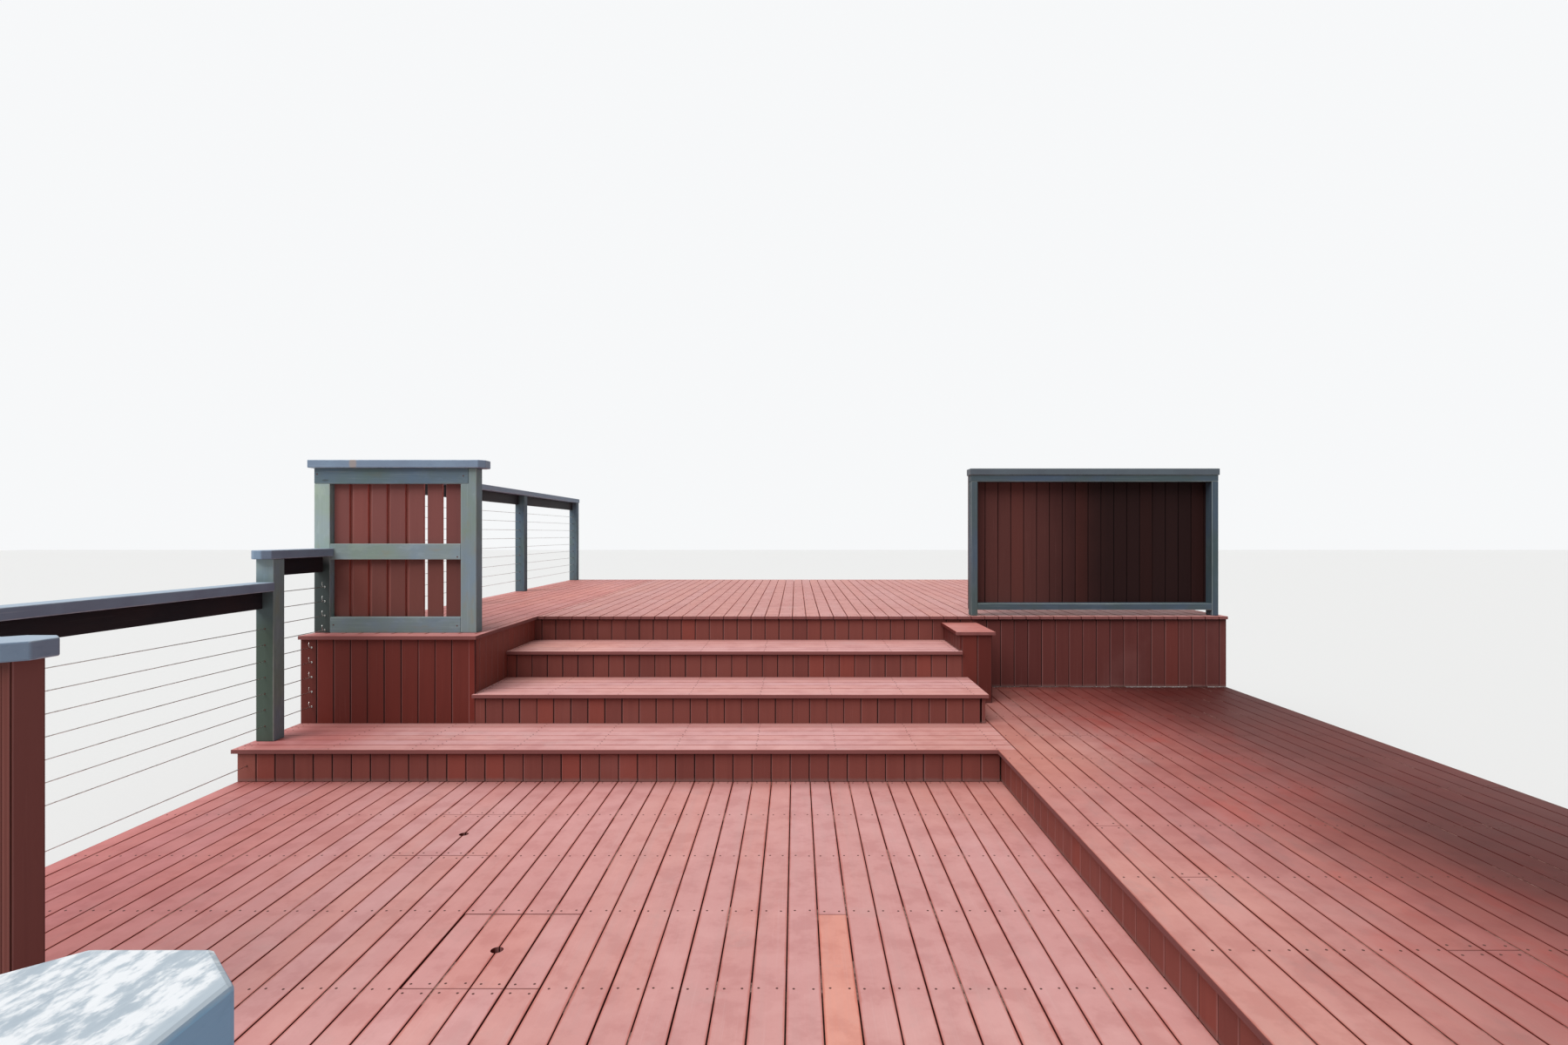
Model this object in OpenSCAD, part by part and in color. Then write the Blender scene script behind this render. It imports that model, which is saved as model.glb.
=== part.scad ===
// Wooden deck stairs: a wide flight of four risers between a lower deck and an upper deck,
// with a raised block and slatted screen on the left and a side platform on the right.
// Millimetres, Z up. X runs to the right, Y runs up the flight.
// The origin is on the ground under the middle of the overall length and width.

/* [Levels] */
// Height of the lower deck's surface above the ground
lower_h = 500; // [440:10:900]
// Rise of each step
rise = 162; // [150:1:190]

/* [Boards] */
// Width of a decking or cladding board
board_w = 90; // [80:1:110]
// Gap between two decking boards
board_gap = 4; // [3:0.5:5]
// Thickness of a decking board
board_t = 20; // [18:1:24]
// Thickness of the vertical cladding
clad_t = 19; // [16:1:22]

/* [Flight] */
// Boards side by side in one tread
tread_boards = 6; // [5:1:7]
// How far a tread stands out past its riser
nosing = 24; // [15:1:30]
// Clear width between the block and the side platform's outer step
flight_w = 2842; // [2400:10:3400]
// How far the plinth's left edge is set in from the end of the second riser
plinth_in = 21; // [0:1:40]
// How far the side platform's edge is set in from the end of the second riser
edge_in = 46; // [20:1:60]
// How far the second tread stands out past its box's right face
side_nosing = 14; // [10:1:30]

/* [Decks] */
// Length of the lower deck's left part, in front of the first riser
lower_l = 2240; // [1900:10:2800]
// How much further the lower deck's right part and the side platform run to the front
near_l = 1500; // [1200:10:2000]
// Width of the lower deck's right part
near_w = 1500; // [1300:5:1800]
// Length of the upper deck behind the last riser
upper_l = 4440; // [4200:10:5000]
// How far the left side's cladding is set in from the upper deck's edge, under the lower deck
side_in = 16; // [8:1:25]
// How far the cladding under the block and the upper deck is set in from that edge
block_side_in = 1; // [0:1:8]
// Width of the raised block at the left of the flight
block_w = 959; // [900:1:1100]
// Width of the side platform, from its outer step to the right edge
platform_w = 1945; // [1700:5:2300]

/* [Frame] */
// Thickness of the joists
joist_t = 45; // [35:1:50]
// Depth of the joists
joist_d = 140; // [120:5:150]
// Spacing of the joists
joist_pitch = 450; // [400:5:500]
// Thickness of the bearers
bearer_t = 90; // [70:1:100]
// Depth of the bearers
bearer_d = 140; // [120:5:150]
// Widest spacing of the bearers under the lower and upper decks
bearer_span = 1250; // [1000:10:1400]
// Widest spacing of the bearers under the side platform
platform_span = 900; // [700:10:1100]
// Distance from a deck's edge to the outer side of its first bearer
bearer_in = 105; // [80:1:150]
// Side of a square stump
stump_s = 100; // [90:1:125]
// Widest spacing of the stumps under a bearer
stump_span = 1600; // [1300:10:1800]
// Thickness of a stair stringer
stringer_t = 45; // [35:1:50]
// Wood left below the notches of a stringer
stringer_throat = 130; // [110:5:150]
// How far a stringer's foot runs on past its beam
stringer_foot = 160; // [120:5:200]
// Distance from the first riser's face to the middle of the joist in front of it
first_joist_in = 20; // [15:1:22]
// Depth of the beam that carries the head of the flight
rim_d = 290; // [270:5:320]

/* [Plinth] */
// Width of the plinth at the right of the flight
plinth_w = 186; // [160:1:230]
// Drop from the upper deck to the plinth's top
plinth_drop = 43; // [30:1:80]
// How far the plinth's top board stands out
plinth_lip = 18; // [10:1:25]
// How far the platform's border runs in under the plinth
plinth_seat = 20; // [10:1:30]

/* [Guards] */
// Height of the lower guards above the deck or tread below them
guard_h = 968; // [900:1:1050]
// Height of the upper guards above the upper deck
upper_guard_h = 985; // [950:1:1100]
// Side of a square guard post
post_s = 90; // [80:1:100]
// How far the lower guard's posts stand in from the cladding's face
post_in = 2; // [0:1:20]
// Width of a rail cap
cap_w = 104; // [95:1:130]
// Thickness of a cap
cap_t = 45; // [35:1:50]
// Cut across the corners of a cap's free end
cap_clip = 33; // [20:1:40]
// Depth of the rail under a cap
rail_d = 90; // [70:1:100]
// Thickness of the rail under a cap
rail_t = 35; // [30:1:45]
// Diameter of a cable
cable_d = 4; // [3:0.5:5]
// Spacing of the cables
cable_pitch = 82; // [75:1:95]
// Drop from the rail to the first cable in the lower guard
lower_cable_drop = 101; // [70:1:120]
// Drop from the rail to the first cable in the stair guard and the upper guard
short_cable_drop = 85; // [70:1:120]
// Distance from the first riser back to the front of the stair post
stair_post_y = 134; // [100:1:200]
// Side of the cap on a boxed post
boxed_cap = 150; // [140:1:170]
// How far that cap stands out past the post's right face
boxed_cap_out = 40; // [25:1:45]
// Cut across that cap's corners
boxed_clip = 38; // [25:1:45]
// Length of the front guard, from the side's cladding to the boxed post's right face
front_guard_l = 940; // [800:1:1200]
// Distance from the lower deck's front edge to the front posts
front_post_in = 105; // [60:1:150]
// Distance from the near boxed post to the left edge of the lower deck's right part
near_post_in = 57; // [40:1:100]
// How far the stair post's cap runs out in front of it
stair_cap_out = 58; // [40:1:70]
// Length of the upper left guard's first bay, behind the slatted screen
upper_bay_1 = 1810; // [1500:10:1900]
// Length of its second bay
upper_bay_2 = 1530; // [1400:10:1900]
// How far the upper cap runs out past the last post
end_cap_out = 38; // [20:1:40]
// Distance from the upper deck's rear edge to the last post
last_post_in = 40; // [20:1:80]

/* [Slatted screen] */
// Distance from the block's front edge to the screen's posts
screen_in = 150; // [120:1:180]
// Clear width between the screen's posts
screen_w = 745; // [700:1:800]
// Upright slats in the screen's front row
slats = 7; // [6:1:8]
// Width of a slat
slat_w = 86; // [80:1:92]
// Thickness of a slat
slat_t = 18; // [14:1:20]
// Gap between the left post and the first slat
slat_left = 6; // [2:1:15]
// Gap between the last slat and the right post
slat_right = 11; // [2:1:15]
// Gap between the slats' tops and the cap
slat_high = 2; // [1:1:10]
// Slats in the rear row, which stand behind the first gaps
rear_slats = 4; // [3:1:5]
// Depth of the screen's cap from front to back
screen_cap_w = 140; // [125:1:160]
// How far the screen's left post stands in from the deck's left edge
screen_edge_in = 2; // [0:1:20]
// How far the screen's cap stands out past the right post
screen_cap_out = 51; // [25:1:60]
// How far the screen's cap stands out past the left post
screen_cap_left = 26; // [20:1:40]
// Gap between the deck and the slats
slat_low = 15; // [8:1:30]
// Height of the screen's middle rail above the deck, to its underside
screen_mid_h = 418; // [350:1:480]

/* [Boarded guard] */
// Height of the boarded guard above the upper deck
boarded_h = 1014; // [950:1:1100]
// How far the boarded guard starts in from the plinth's right face
boarded_over = 11; // [0:1:30]
// Distance from the boarded guard to the deck's right edge
boarded_in = 43; // [20:1:80]
// Width of the boarded guard's posts, seen from the front
boarded_post_w = 45; // [35:1:60]
// Thickness of the flat plates at the top and the bottom of the boards
boarded_plate_t = 45; // [35:1:50]
// How far the boarded guard's cap stands out
boarded_cap_out = 7; // [5:1:30]
// Clearance under the boards of the boarded guard
boarded_gap = 40; // [20:1:60]

/* [Hidden] */
$fn = 24;
steps = 4;
pitch = board_w + board_gap;
tread_d = tread_boards * pitch - board_gap;
going = tread_d - nosing;
flight_l = (steps - 1) * going;
total_l = near_l + lower_l + flight_l + upper_l;
deck_w = block_w + flight_w - edge_in + platform_w;
// Gap where two boards butt at a corner
corner_gap = 1;
// Least clearance between a cable and a board's edge
cable_clear = 15;
// The slatted screen's cap stands out past the deck's left edge
left_out = max(0, screen_cap_left - screen_edge_in);
// Plan lines, from the left
x_left = (left_out - deck_w) / 2;
x_side = x_left + side_in;
x_block = x_left + block_side_in;
x_cheek = x_left + block_w;
x_flight_end = x_cheek + flight_w;
x_plinth = x_flight_end - plinth_in;
x_plinth_end = x_plinth + plinth_w;
x_edge = x_flight_end - edge_in;
x_near = x_edge - near_w;
x_right = x_left + deck_w;
x_border = x_edge - nosing + pitch;
// Plan lines, from the front
y_front = -total_l / 2;
y_left_front = y_front + near_l;
y_flight = y_left_front + lower_l;
y_head = y_flight + flight_l;
y_back = total_l / 2;
// Heights of the decks and of what carries them
z_lower = lower_h;
z_platform = lower_h + rise;
z_upper = lower_h + steps * rise;
z_foot = z_lower - board_t - joist_d;
z_lower_cap = z_lower + guard_h - cap_t;
z_short_cap = z_platform + guard_h - cap_t;
z_upper_cap = z_upper + upper_guard_h - cap_t;
z_boarded_cap = z_upper + boarded_h - cap_t;
// Places of the posts, by their low corners
x_posts = x_side + post_in;
x_screen = x_left + screen_edge_in;
x_screen_end = x_screen + post_s + screen_w;
x_boxed = x_side + front_guard_l - post_s;
y_front_post = y_left_front + front_post_in;
y_near_post = y_front + front_post_in;
y_stair_post = y_flight + stair_post_y;
y_screen = y_flight + going - nosing + screen_in;
y_last_post = y_back - last_post_in - post_s;
upper_post_y = [y_screen, y_screen + upper_bay_1, y_screen + upper_bay_1 + upper_bay_2, y_last_post];

deck_red = [0.60, 0.33, 0.31];
clad_red = [0.30, 0.13, 0.12];
frame_wood = [0.47, 0.38, 0.28];
post_grey = [0.38, 0.43, 0.42];
rail_brown = [0.17, 0.14, 0.14];
cap_grey = [0.33, 0.36, 0.41];
steel = [0.65, 0.65, 0.62];

// Height of the walking surface of step n, counted from the lower deck as 0
function level(n) = lower_h + n * rise;
// Front face of riser n
function riser_y(n) = y_flight + (n - 1) * going;
// Middles of pieces spread from a to b, no further apart than the spacing
function spread(a, b, spacing) =
    let (n = max(1, ceil((b - a) / spacing)))
    [for (i = [0 : n]) a + i * (b - a) / n];

// A box given by its two corners
module block(low, high) {
    translate(low)
        cube([high[0] - low[0], high[1] - low[1], high[2] - low[2]]);
}

// Joists along X under a deck whose surface is at z
module joists(x0, x1, middles, z) {
    for (y = middles)
        block([x0, y - joist_t / 2, z - board_t - joist_d],
            [x1, y + joist_t / 2, z - board_t]);
}

// Bearers along Y under those joists
module bearer_row(middles, y0, y1, z) {
    top = z - board_t - joist_d;
    for (x = middles)
        block([x - bearer_t / 2, y0, top - bearer_d], [x + bearer_t / 2, y1, top]);
}

// Stumps under such a bearer, from the ground to its underside
module stump_row(middles, y0, y1, z) {
    for (x = middles, y = spread(y0 + stump_s, y1 - stump_s, stump_span))
        block([x - stump_s / 2, y - stump_s / 2, 0],
            [x + stump_s / 2, y + stump_s / 2, z - board_t - joist_d - bearer_d]);
}

// Middles of a deck's bearers between its left and right edges
function bearers_between(x0, x1, spacing) =
    spread(x0 + bearer_in + bearer_t / 2, x1 - bearer_in - bearer_t / 2, spacing);

// Middle of the joist that stands against a fascia whose inner face is at y
function joist_at(y, side) = y + side * (joist_t / 2 + corner_gap);

lower_bearer_x = bearers_between(x_side, x_near, bearer_span);
near_bearer_x = bearers_between(x_near, x_edge, bearer_span);
platform_bearer_x = bearers_between(x_edge, x_right, platform_span);
block_bearer_x = [x_left + bearer_in + bearer_t / 2, x_cheek - clad_t - bearer_t];
upper_bearer_x = [for (x = spread(block_bearer_x[1], x_right - bearer_in - bearer_t / 2,
    bearer_span)) if (x > x_cheek) x];
left_end_joist = joist_at(y_left_front + clad_t, 1);
near_end_joist = joist_at(y_front + clad_t, 1);
lower_joist_y =
    [for (y = [y_flight - first_joist_in : -joist_pitch : left_end_joist + joist_t]) y];
near_joist_y = spread(near_end_joist, left_end_joist - joist_t - corner_gap, joist_pitch);
platform_joist_y = spread(near_end_joist, joist_at(y_head, -1), joist_pitch);
upper_joist_y = spread(y_head + clad_t + joist_t * 1.5, joist_at(y_back - clad_t, -1), joist_pitch);
block_joist_y = spread(joist_at(riser_y(2) + clad_t, 1), y_head - joist_t, joist_pitch);
foot_y = y_flight + clad_t + bearer_t;

module stumps() {
    color(frame_wood) {
        stump_row(lower_bearer_x, y_left_front, y_flight - joist_pitch / 2, z_lower);
        stump_row(near_bearer_x, y_front, y_flight - joist_pitch / 2, z_lower);
        stump_row(platform_bearer_x, y_front, y_head, z_platform);
        stump_row(upper_bearer_x, y_head, y_back, z_upper);
        stump_row(block_bearer_x, riser_y(2), y_back, z_upper);
        for (x = spread(x_side + stump_s, x_edge - stump_s, bearer_span))
            block([x - stump_s / 2, foot_y - stump_s / 2, 0],
                [x + stump_s / 2, foot_y + stump_s / 2, z_foot - bearer_d]);
    }
}

module bearers() {
    y0 = y_front + clad_t + corner_gap;
    y1 = y_back - clad_t - corner_gap;
    color(frame_wood) {
        bearer_row(lower_bearer_x, y0 + near_l, y_flight - corner_gap, z_lower);
        bearer_row(near_bearer_x, y0, y_flight - corner_gap, z_lower);
        bearer_row(platform_bearer_x, y0, y_head - corner_gap, z_platform);
        bearer_row(upper_bearer_x, y_head + clad_t + joist_t + corner_gap, y1, z_upper);
        bearer_row(block_bearer_x, riser_y(2) + clad_t, y1, z_upper);
    }
}

// The beam on stumps under the stringers' feet, and the deep one that their heads lean on
module flight_beams() {
    color(frame_wood) {
        block([x_side + clad_t + corner_gap, foot_y - bearer_t / 2, z_foot - bearer_d],
            [x_edge, foot_y + bearer_t / 2, z_foot]);
        block([x_cheek, y_head + clad_t, z_upper - board_t - rim_d],
            [x_right - clad_t - corner_gap, y_head + clad_t + joist_t, z_upper - board_t]);
    }
}

module lower_joists() {
    color(frame_wood) {
        joists(x_side + clad_t + corner_gap, x_edge + clad_t,
            concat(lower_joist_y, [left_end_joist]), z_lower);
        joists(x_near + clad_t + corner_gap, x_edge + clad_t, near_joist_y, z_lower);
    }
}

module platform_joists() {
    color(frame_wood)
        joists(x_edge + clad_t, x_right - clad_t - corner_gap, platform_joist_y, z_platform);
}

// Long joists behind the flight and short ones over the block
module upper_joists() {
    x0 = x_block + clad_t + corner_gap;
    color(frame_wood) {
        joists(x0, x_right - clad_t - corner_gap, upper_joist_y, z_upper);
        joists(x0, x_cheek - clad_t, block_joist_y, z_upper);
    }
}

// Side view of a notched stringer, with Y to the right
module stringer_profile() {
    notches = [for (n = [1 : steps - 1]) each [
        [(n - 1) * going + clad_t, level(n) - board_t],
        [n * going + clad_t, level(n) - board_t]]];
    polygon(concat(
        [[clad_t, z_foot]],
        notches,
        [[flight_l + clad_t, level(steps - 1) - board_t - stringer_throat],
         [bearer_t + stringer_foot + clad_t, z_foot]]));
}

module stringers() {
    color(frame_wood) {
        for (x = spread(x_cheek, x_edge - stringer_t, joist_pitch))
            translate([x, y_flight, 0])
                rotate([90, 0, 90])
                    linear_extrude(stringer_t)
                        stringer_profile();
        // Stubs under the first tread in front of the block
        for (x = spread(x_side + clad_t + corner_gap, x_cheek - clad_t - stringer_t * 2,
            joist_pitch))
            block([x, y_flight + clad_t, z_foot],
                [x + stringer_t, riser_y(2) + clad_t, level(1) - board_t]);
    }
}

// A slab of boards whose surface is at z
module slab(x0, x1, y0, y1, z) {
    block([x0, y0, z - board_t], [x1, y1, z]);
}

// The boards end under the first riser, and a gap between two of them parts the two lengths
module lower_deck() {
    y1 = y_flight + clad_t;
    color(deck_red) {
        slab(x_side, x_near - board_gap, y_left_front, y1, z_lower);
        slab(x_near, x_edge + clad_t, y_front, y1, z_lower);
    }
}

module platform_deck() {
    color(deck_red)
        slab(x_border, x_right, y_front, y_head, z_platform);
}

// The board along the platform's edge, and its run under the plinth, notched round the second riser
module platform_border() {
    x1 = x_border - board_gap;
    color(deck_red) {
        slab(x_edge - nosing, x1, y_front, y_flight - nosing - corner_gap, z_platform);
        slab(x_plinth - plinth_seat, x1, riser_y(2) + clad_t, y_head, z_platform);
        slab(x_flight_end - clad_t, x1, riser_y(2), y_head, z_platform);
    }
}

module block_deck() {
    color(deck_red)
        slab(x_left, x_cheek + nosing, riser_y(2) - nosing, y_back, z_upper);
}

module upper_deck() {
    color(deck_red)
        slab(x_cheek + nosing + board_gap, x_right, y_head - nosing, y_back, z_upper);
}

module tread(n, x0, x1) {
    color(deck_red)
        slab(x0, x1, riser_y(n) - nosing, riser_y(n + 1), level(n));
}

module tread_1() {
    tread(1, x_left, x_border - board_gap);
}

module tread_2() {
    tread(2, x_cheek, x_flight_end + side_nosing);
}

module tread_3() {
    tread(3, x_cheek, x_plinth);
}

// Upright boards facing the front
module front_boards(x0, x1, y, z0, z1) {
    color(clad_red)
        block([x0, y, z0], [x1, y + clad_t, z1]);
}

// Upright boards facing a side, with their low face at x
module side_boards(x, y0, y1, z0, z1) {
    color(clad_red)
        block([x, y0, z0], [x + clad_t, y1, z1]);
}

// Boards between a tread and the nosing above it, seated behind the tread below
module riser(n, x0, x1, z0) {
    front_boards(x0, x1, riser_y(n), z0, level(n) - board_t);
}

module riser_1() {
    riser(1, x_side, x_edge, z_lower);
}

// The second riser's boards turn the corner along the tread's open end, and the turned
// board's own end shows in front
module riser_2() {
    riser(2, x_cheek, x_flight_end - clad_t - corner_gap, z_platform - board_t);
    side_boards(x_flight_end - clad_t, riser_y(2), riser_y(3), z_platform, level(2) - board_t);
}

module riser_3() {
    riser(3, x_cheek, x_plinth, level(2) - board_t);
}

module riser_4() {
    riser(4, x_cheek, x_plinth_end, level(3) - board_t);
}

module block_front() {
    front_boards(x_block, x_cheek - clad_t, riser_y(2), z_platform - board_t, z_upper - board_t);
}

module cheek_wall() {
    side_boards(x_cheek - clad_t, riser_y(2), y_head + clad_t, z_platform - board_t,
        z_upper - board_t);
}

// Boards on the flight's and the block's left side, in two lengths; the block's stand further out
module block_side() {
    turn = riser_y(2) + clad_t;
    side_boards(x_side, y_flight + clad_t + corner_gap, turn, z_foot, z_platform - board_t);
    side_boards(x_block, turn + corner_gap, y_head, z_foot, z_upper - board_t);
}

module platform_fascia() {
    side_boards(x_edge, y_front, y_flight + clad_t, z_lower, z_platform - board_t);
}

module back_wall() {
    front_boards(x_plinth_end, x_right, y_head, z_platform, z_upper - board_t);
}

// Boards that close the ends of the lower deck's and the platform's joists
module lower_fascias() {
    side_low = z_platform - board_t - joist_d;
    top = z_lower - board_t;
    back = clad_t + corner_gap;
    side_boards(x_side, y_left_front + back, y_flight + clad_t, z_foot, top);
    front_boards(x_side, x_near - corner_gap, y_left_front, z_foot, top);
    side_boards(x_near, y_front + back, y_left_front + clad_t, z_foot, top);
    front_boards(x_near, x_edge - corner_gap, y_front, z_foot, top);
    front_boards(x_edge, x_right, y_front, side_low, z_platform - board_t);
    side_boards(x_right - clad_t, y_front + back, y_head, side_low, z_platform - board_t);
}

module upper_fascias() {
    low = z_upper - board_t - joist_d;
    top = z_upper - board_t;
    y1 = y_back - clad_t;
    side_boards(x_block, y_head + corner_gap, y1 - corner_gap, low, top);
    front_boards(x_block, x_right, y1, low, top);
    side_boards(x_right - clad_t, y_head + clad_t + corner_gap, y1 - corner_gap, low, top);
}

plinth_h = z_upper - plinth_drop - board_t;

// The left side stands on the third tread and its end shows in front; the right side butts
// against the front's back
module plinth_sides() {
    front_boards(x_plinth + corner_gap, x_plinth_end, riser_y(3), z_platform, plinth_h);
    side_boards(x_plinth - clad_t, riser_y(3), y_head, level(3), plinth_h);
    side_boards(x_plinth_end - clad_t, riser_y(3) + clad_t + corner_gap, y_head, z_platform,
        plinth_h);
}

module plinth_top() {
    color(deck_red)
        slab(x_plinth - clad_t - plinth_lip, x_plinth_end + plinth_lip, riser_y(3) - plinth_lip,
            y_head, plinth_h + board_t);
}

// A square post standing at the low corner x, y
module post(x, y, z0, z1) {
    block([x, y, z0], [x + post_s, y + post_s, z1]);
}

module guard_posts() {
    color(post_grey) {
        post(x_posts, y_stair_post, z_platform, z_short_cap);
        post(x_posts, y_front_post, z_lower, z_lower_cap);
        for (i = [1 : len(upper_post_y) - 1])
            post(x_screen, upper_post_y[i], z_upper, z_upper_cap);
    }
}

// One ends the front guard, and one stands by itself at the other side of the opening
module boxed_posts() {
    color(clad_red) {
        post(x_boxed, y_front_post, z_lower, z_lower_cap);
        post(x_near + near_post_in, y_near_post, z_lower, z_lower_cap);
    }
}

// A rail along Y between two posts of the row at x, under a cap and flush with their outer faces
module rail_y(x, y0, y1, z_cap) {
    block([x, y0, z_cap - rail_d], [x + rail_t, y1, z_cap]);
}

module guard_rails() {
    color(rail_brown) {
        rail_y(x_posts, y_front_post + post_s, y_stair_post, z_lower_cap);
        rail_y(x_posts, y_stair_post + post_s, y_screen, z_short_cap);
        for (i = [1 : len(upper_post_y) - 1])
            rail_y(x_screen, upper_post_y[i - 1] + post_s, upper_post_y[i], z_upper_cap);
        block([x_posts + post_s, y_front_post, z_lower_cap - rail_d],
            [x_boxed, y_front_post + rail_t, z_lower_cap]);
    }
}

// Flat cap, with both corners of an end cut by the given amount
module cap_plan(l, w, a, b) {
    polygon([[0, a], [a, 0], [w - a, 0], [w, a], [w, l - b], [w - b, l], [b, l], [0, l - b]]);
}

module cap_y(x, y0, y1, z_cap, start_clip, end_clip) {
    translate([x + (post_s - cap_w) / 2, y0, z_cap])
        linear_extrude(cap_t)
            cap_plan(y1 - y0, cap_w, start_clip, end_clip);
}

// Left edge of the cap on a boxed post that stands at x
function boxed_cap_x(x) = x + post_s + boxed_cap_out - boxed_cap;

module boxed_post_cap(x, y) {
    translate([boxed_cap_x(x), y - (boxed_cap - post_s) / 2, z_lower_cap])
        linear_extrude(cap_t)
            cap_plan(boxed_cap, boxed_cap, boxed_clip, boxed_clip);
}

// The lower cap turns the front corner in a mitre
module mitred_caps() {
    x0 = x_posts + (post_s - cap_w) / 2;
    y0 = y_front_post + (post_s - cap_w) / 2;
    side_end = y_stair_post - y0;
    front_end = boxed_cap_x(x_boxed) - corner_gap - x0;
    g = corner_gap;
    translate([x0, y0, z_lower_cap])
        linear_extrude(cap_t) {
            polygon([[0, g], [cap_w, cap_w + g], [cap_w, side_end], [0, side_end]]);
            polygon([[g, 0], [front_end, 0], [front_end, cap_w], [cap_w + g, cap_w]]);
        }
}

module guard_caps() {
    color(cap_grey) {
        mitred_caps();
        boxed_post_cap(x_boxed, y_front_post);
        boxed_post_cap(x_near + near_post_in, y_near_post);
        cap_y(x_posts, y_stair_post - stair_cap_out, y_screen, z_short_cap, cap_clip, 0);
        cap_y(x_screen, y_screen + (post_s + screen_cap_w) / 2, y_last_post + post_s + end_cap_out,
            z_upper_cap, 0, cap_clip);
    }
}

// Cables along Y in the row of posts at x, at the given heights
module cables_y(x, y0, y1, heights) {
    color(steel)
        for (z = heights)
            translate([x + post_s / 2, y0, z])
                rotate([-90, 0, 0])
                    cylinder(h = y1 - y0, d = cable_d);
}

function cable_heights(z_deck, z_cap, drop) =
    [for (z = [z_cap - rail_d - drop : -cable_pitch : z_deck + cable_pitch / 2]) z];

// The lowest cables stop at the first riser, below the tread
module left_cables() {
    heights = cable_heights(z_lower, z_lower_cap, lower_cable_drop);
    cables_y(x_posts, y_front_post + post_s, y_stair_post,
        [for (z = heights) if (z > z_platform + cable_clear) z]);
    cables_y(x_posts, y_front_post + post_s, y_flight,
        [for (z = heights) if (z < z_platform - board_t - cable_clear) z]);
}

module front_cables() {
    color(steel)
        for (z = cable_heights(z_lower, z_lower_cap, lower_cable_drop))
            translate([x_posts + post_s, y_front_post + post_s / 2, z])
                rotate([0, 90, 0])
                    cylinder(h = x_boxed - x_posts - post_s, d = cable_d);
}

module short_cables() {
    heights = cable_heights(z_platform, z_short_cap, short_cable_drop);
    y0 = y_stair_post + post_s;
    cables_y(x_posts, y0, y_screen, [for (z = heights) if (z > z_upper + cable_clear) z]);
    cables_y(x_posts, y0, riser_y(2),
        [for (z = heights) if (z < z_upper - board_t - cable_clear) z]);
}

module upper_cables() {
    for (i = [1 : len(upper_post_y) - 1])
        cables_y(x_screen, upper_post_y[i - 1] + post_s, upper_post_y[i],
            cable_heights(z_upper, z_upper_cap, short_cable_drop));
}

// The top rail laps the left post's face and ends halfway across the right one
module screen_top_rail() {
    block([x_screen, y_screen, z_upper_cap - rail_d],
        [x_screen_end + post_s / 2, y_screen + rail_t, z_upper_cap]);
}

module screen_posts() {
    color(post_grey)
        difference() {
            for (x = [x_screen, x_screen_end])
                post(x, y_screen, z_upper, z_upper_cap);
            screen_top_rail();
        }
}

module screen_rails() {
    color(post_grey) {
        screen_top_rail();
        for (z = [z_upper, z_upper + screen_mid_h])
            block([x_screen + post_s, y_screen, z], [x_screen_end, y_screen + rail_t, z + rail_d]);
    }
}

slat_pitch = (screen_w - slat_w - slat_left - slat_right) / (slats - 1);

module slat_row(y, shift, count) {
    color(clad_red)
        for (i = [0 : count - 1]) {
            x = x_screen + post_s + slat_left + shift + i * slat_pitch;
            block([x, y, z_upper + slat_low], [x + slat_w, y + slat_t, z_upper_cap - slat_high]);
        }
}

module front_slats() {
    slat_row(y_screen + rail_t, 0, slats);
}

module rear_slats_row() {
    slat_row(y_screen + rail_t + slat_t, slat_pitch / 2, rear_slats);
}

module screen_cap() {
    l = x_screen_end + post_s + screen_cap_out - x_screen + screen_cap_left;
    color(cap_grey)
        translate([x_screen - screen_cap_left, y_screen + (post_s + screen_cap_w) / 2, z_upper_cap])
            rotate([0, 0, -90])
                linear_extrude(cap_t)
                    cap_plan(l, screen_cap_w, 0, cap_clip);
}

// The boarded guard stands on the upper deck's front edge, above the side platform
x_boarded = x_plinth_end - boarded_over;
x_boarded_end = x_right - boarded_in;
y_boarded = y_head + clad_t;
y_boarded_back = y_boarded + post_s;

module boarded_posts() {
    color(post_grey)
        for (x = [x_boarded, x_boarded_end - boarded_post_w])
            block([x, y_boarded, z_upper],
                [x + boarded_post_w, y_boarded_back, z_boarded_cap - boarded_plate_t]);
}

// A flat plate between the posts at the bottom, and one across their tops
module boarded_rails() {
    z = z_upper + boarded_gap;
    color(post_grey) {
        block([x_boarded + boarded_post_w, y_boarded, z],
            [x_boarded_end - boarded_post_w, y_boarded_back, z + boarded_plate_t]);
        block([x_boarded, y_boarded, z_boarded_cap - boarded_plate_t],
            [x_boarded_end, y_boarded_back, z_boarded_cap]);
    }
}

// The boards are fixed to the back of the posts and plates
module boarded_panel() {
    front_boards(x_boarded, x_boarded_end, y_boarded_back, z_upper + boarded_gap, z_boarded_cap);
}

module boarded_cap() {
    o = boarded_cap_out;
    color(cap_grey)
        block([x_boarded - o, y_boarded - o, z_boarded_cap],
            [x_boarded_end + o, y_boarded_back + clad_t + o, z_boarded_cap + cap_t]);
}

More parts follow.
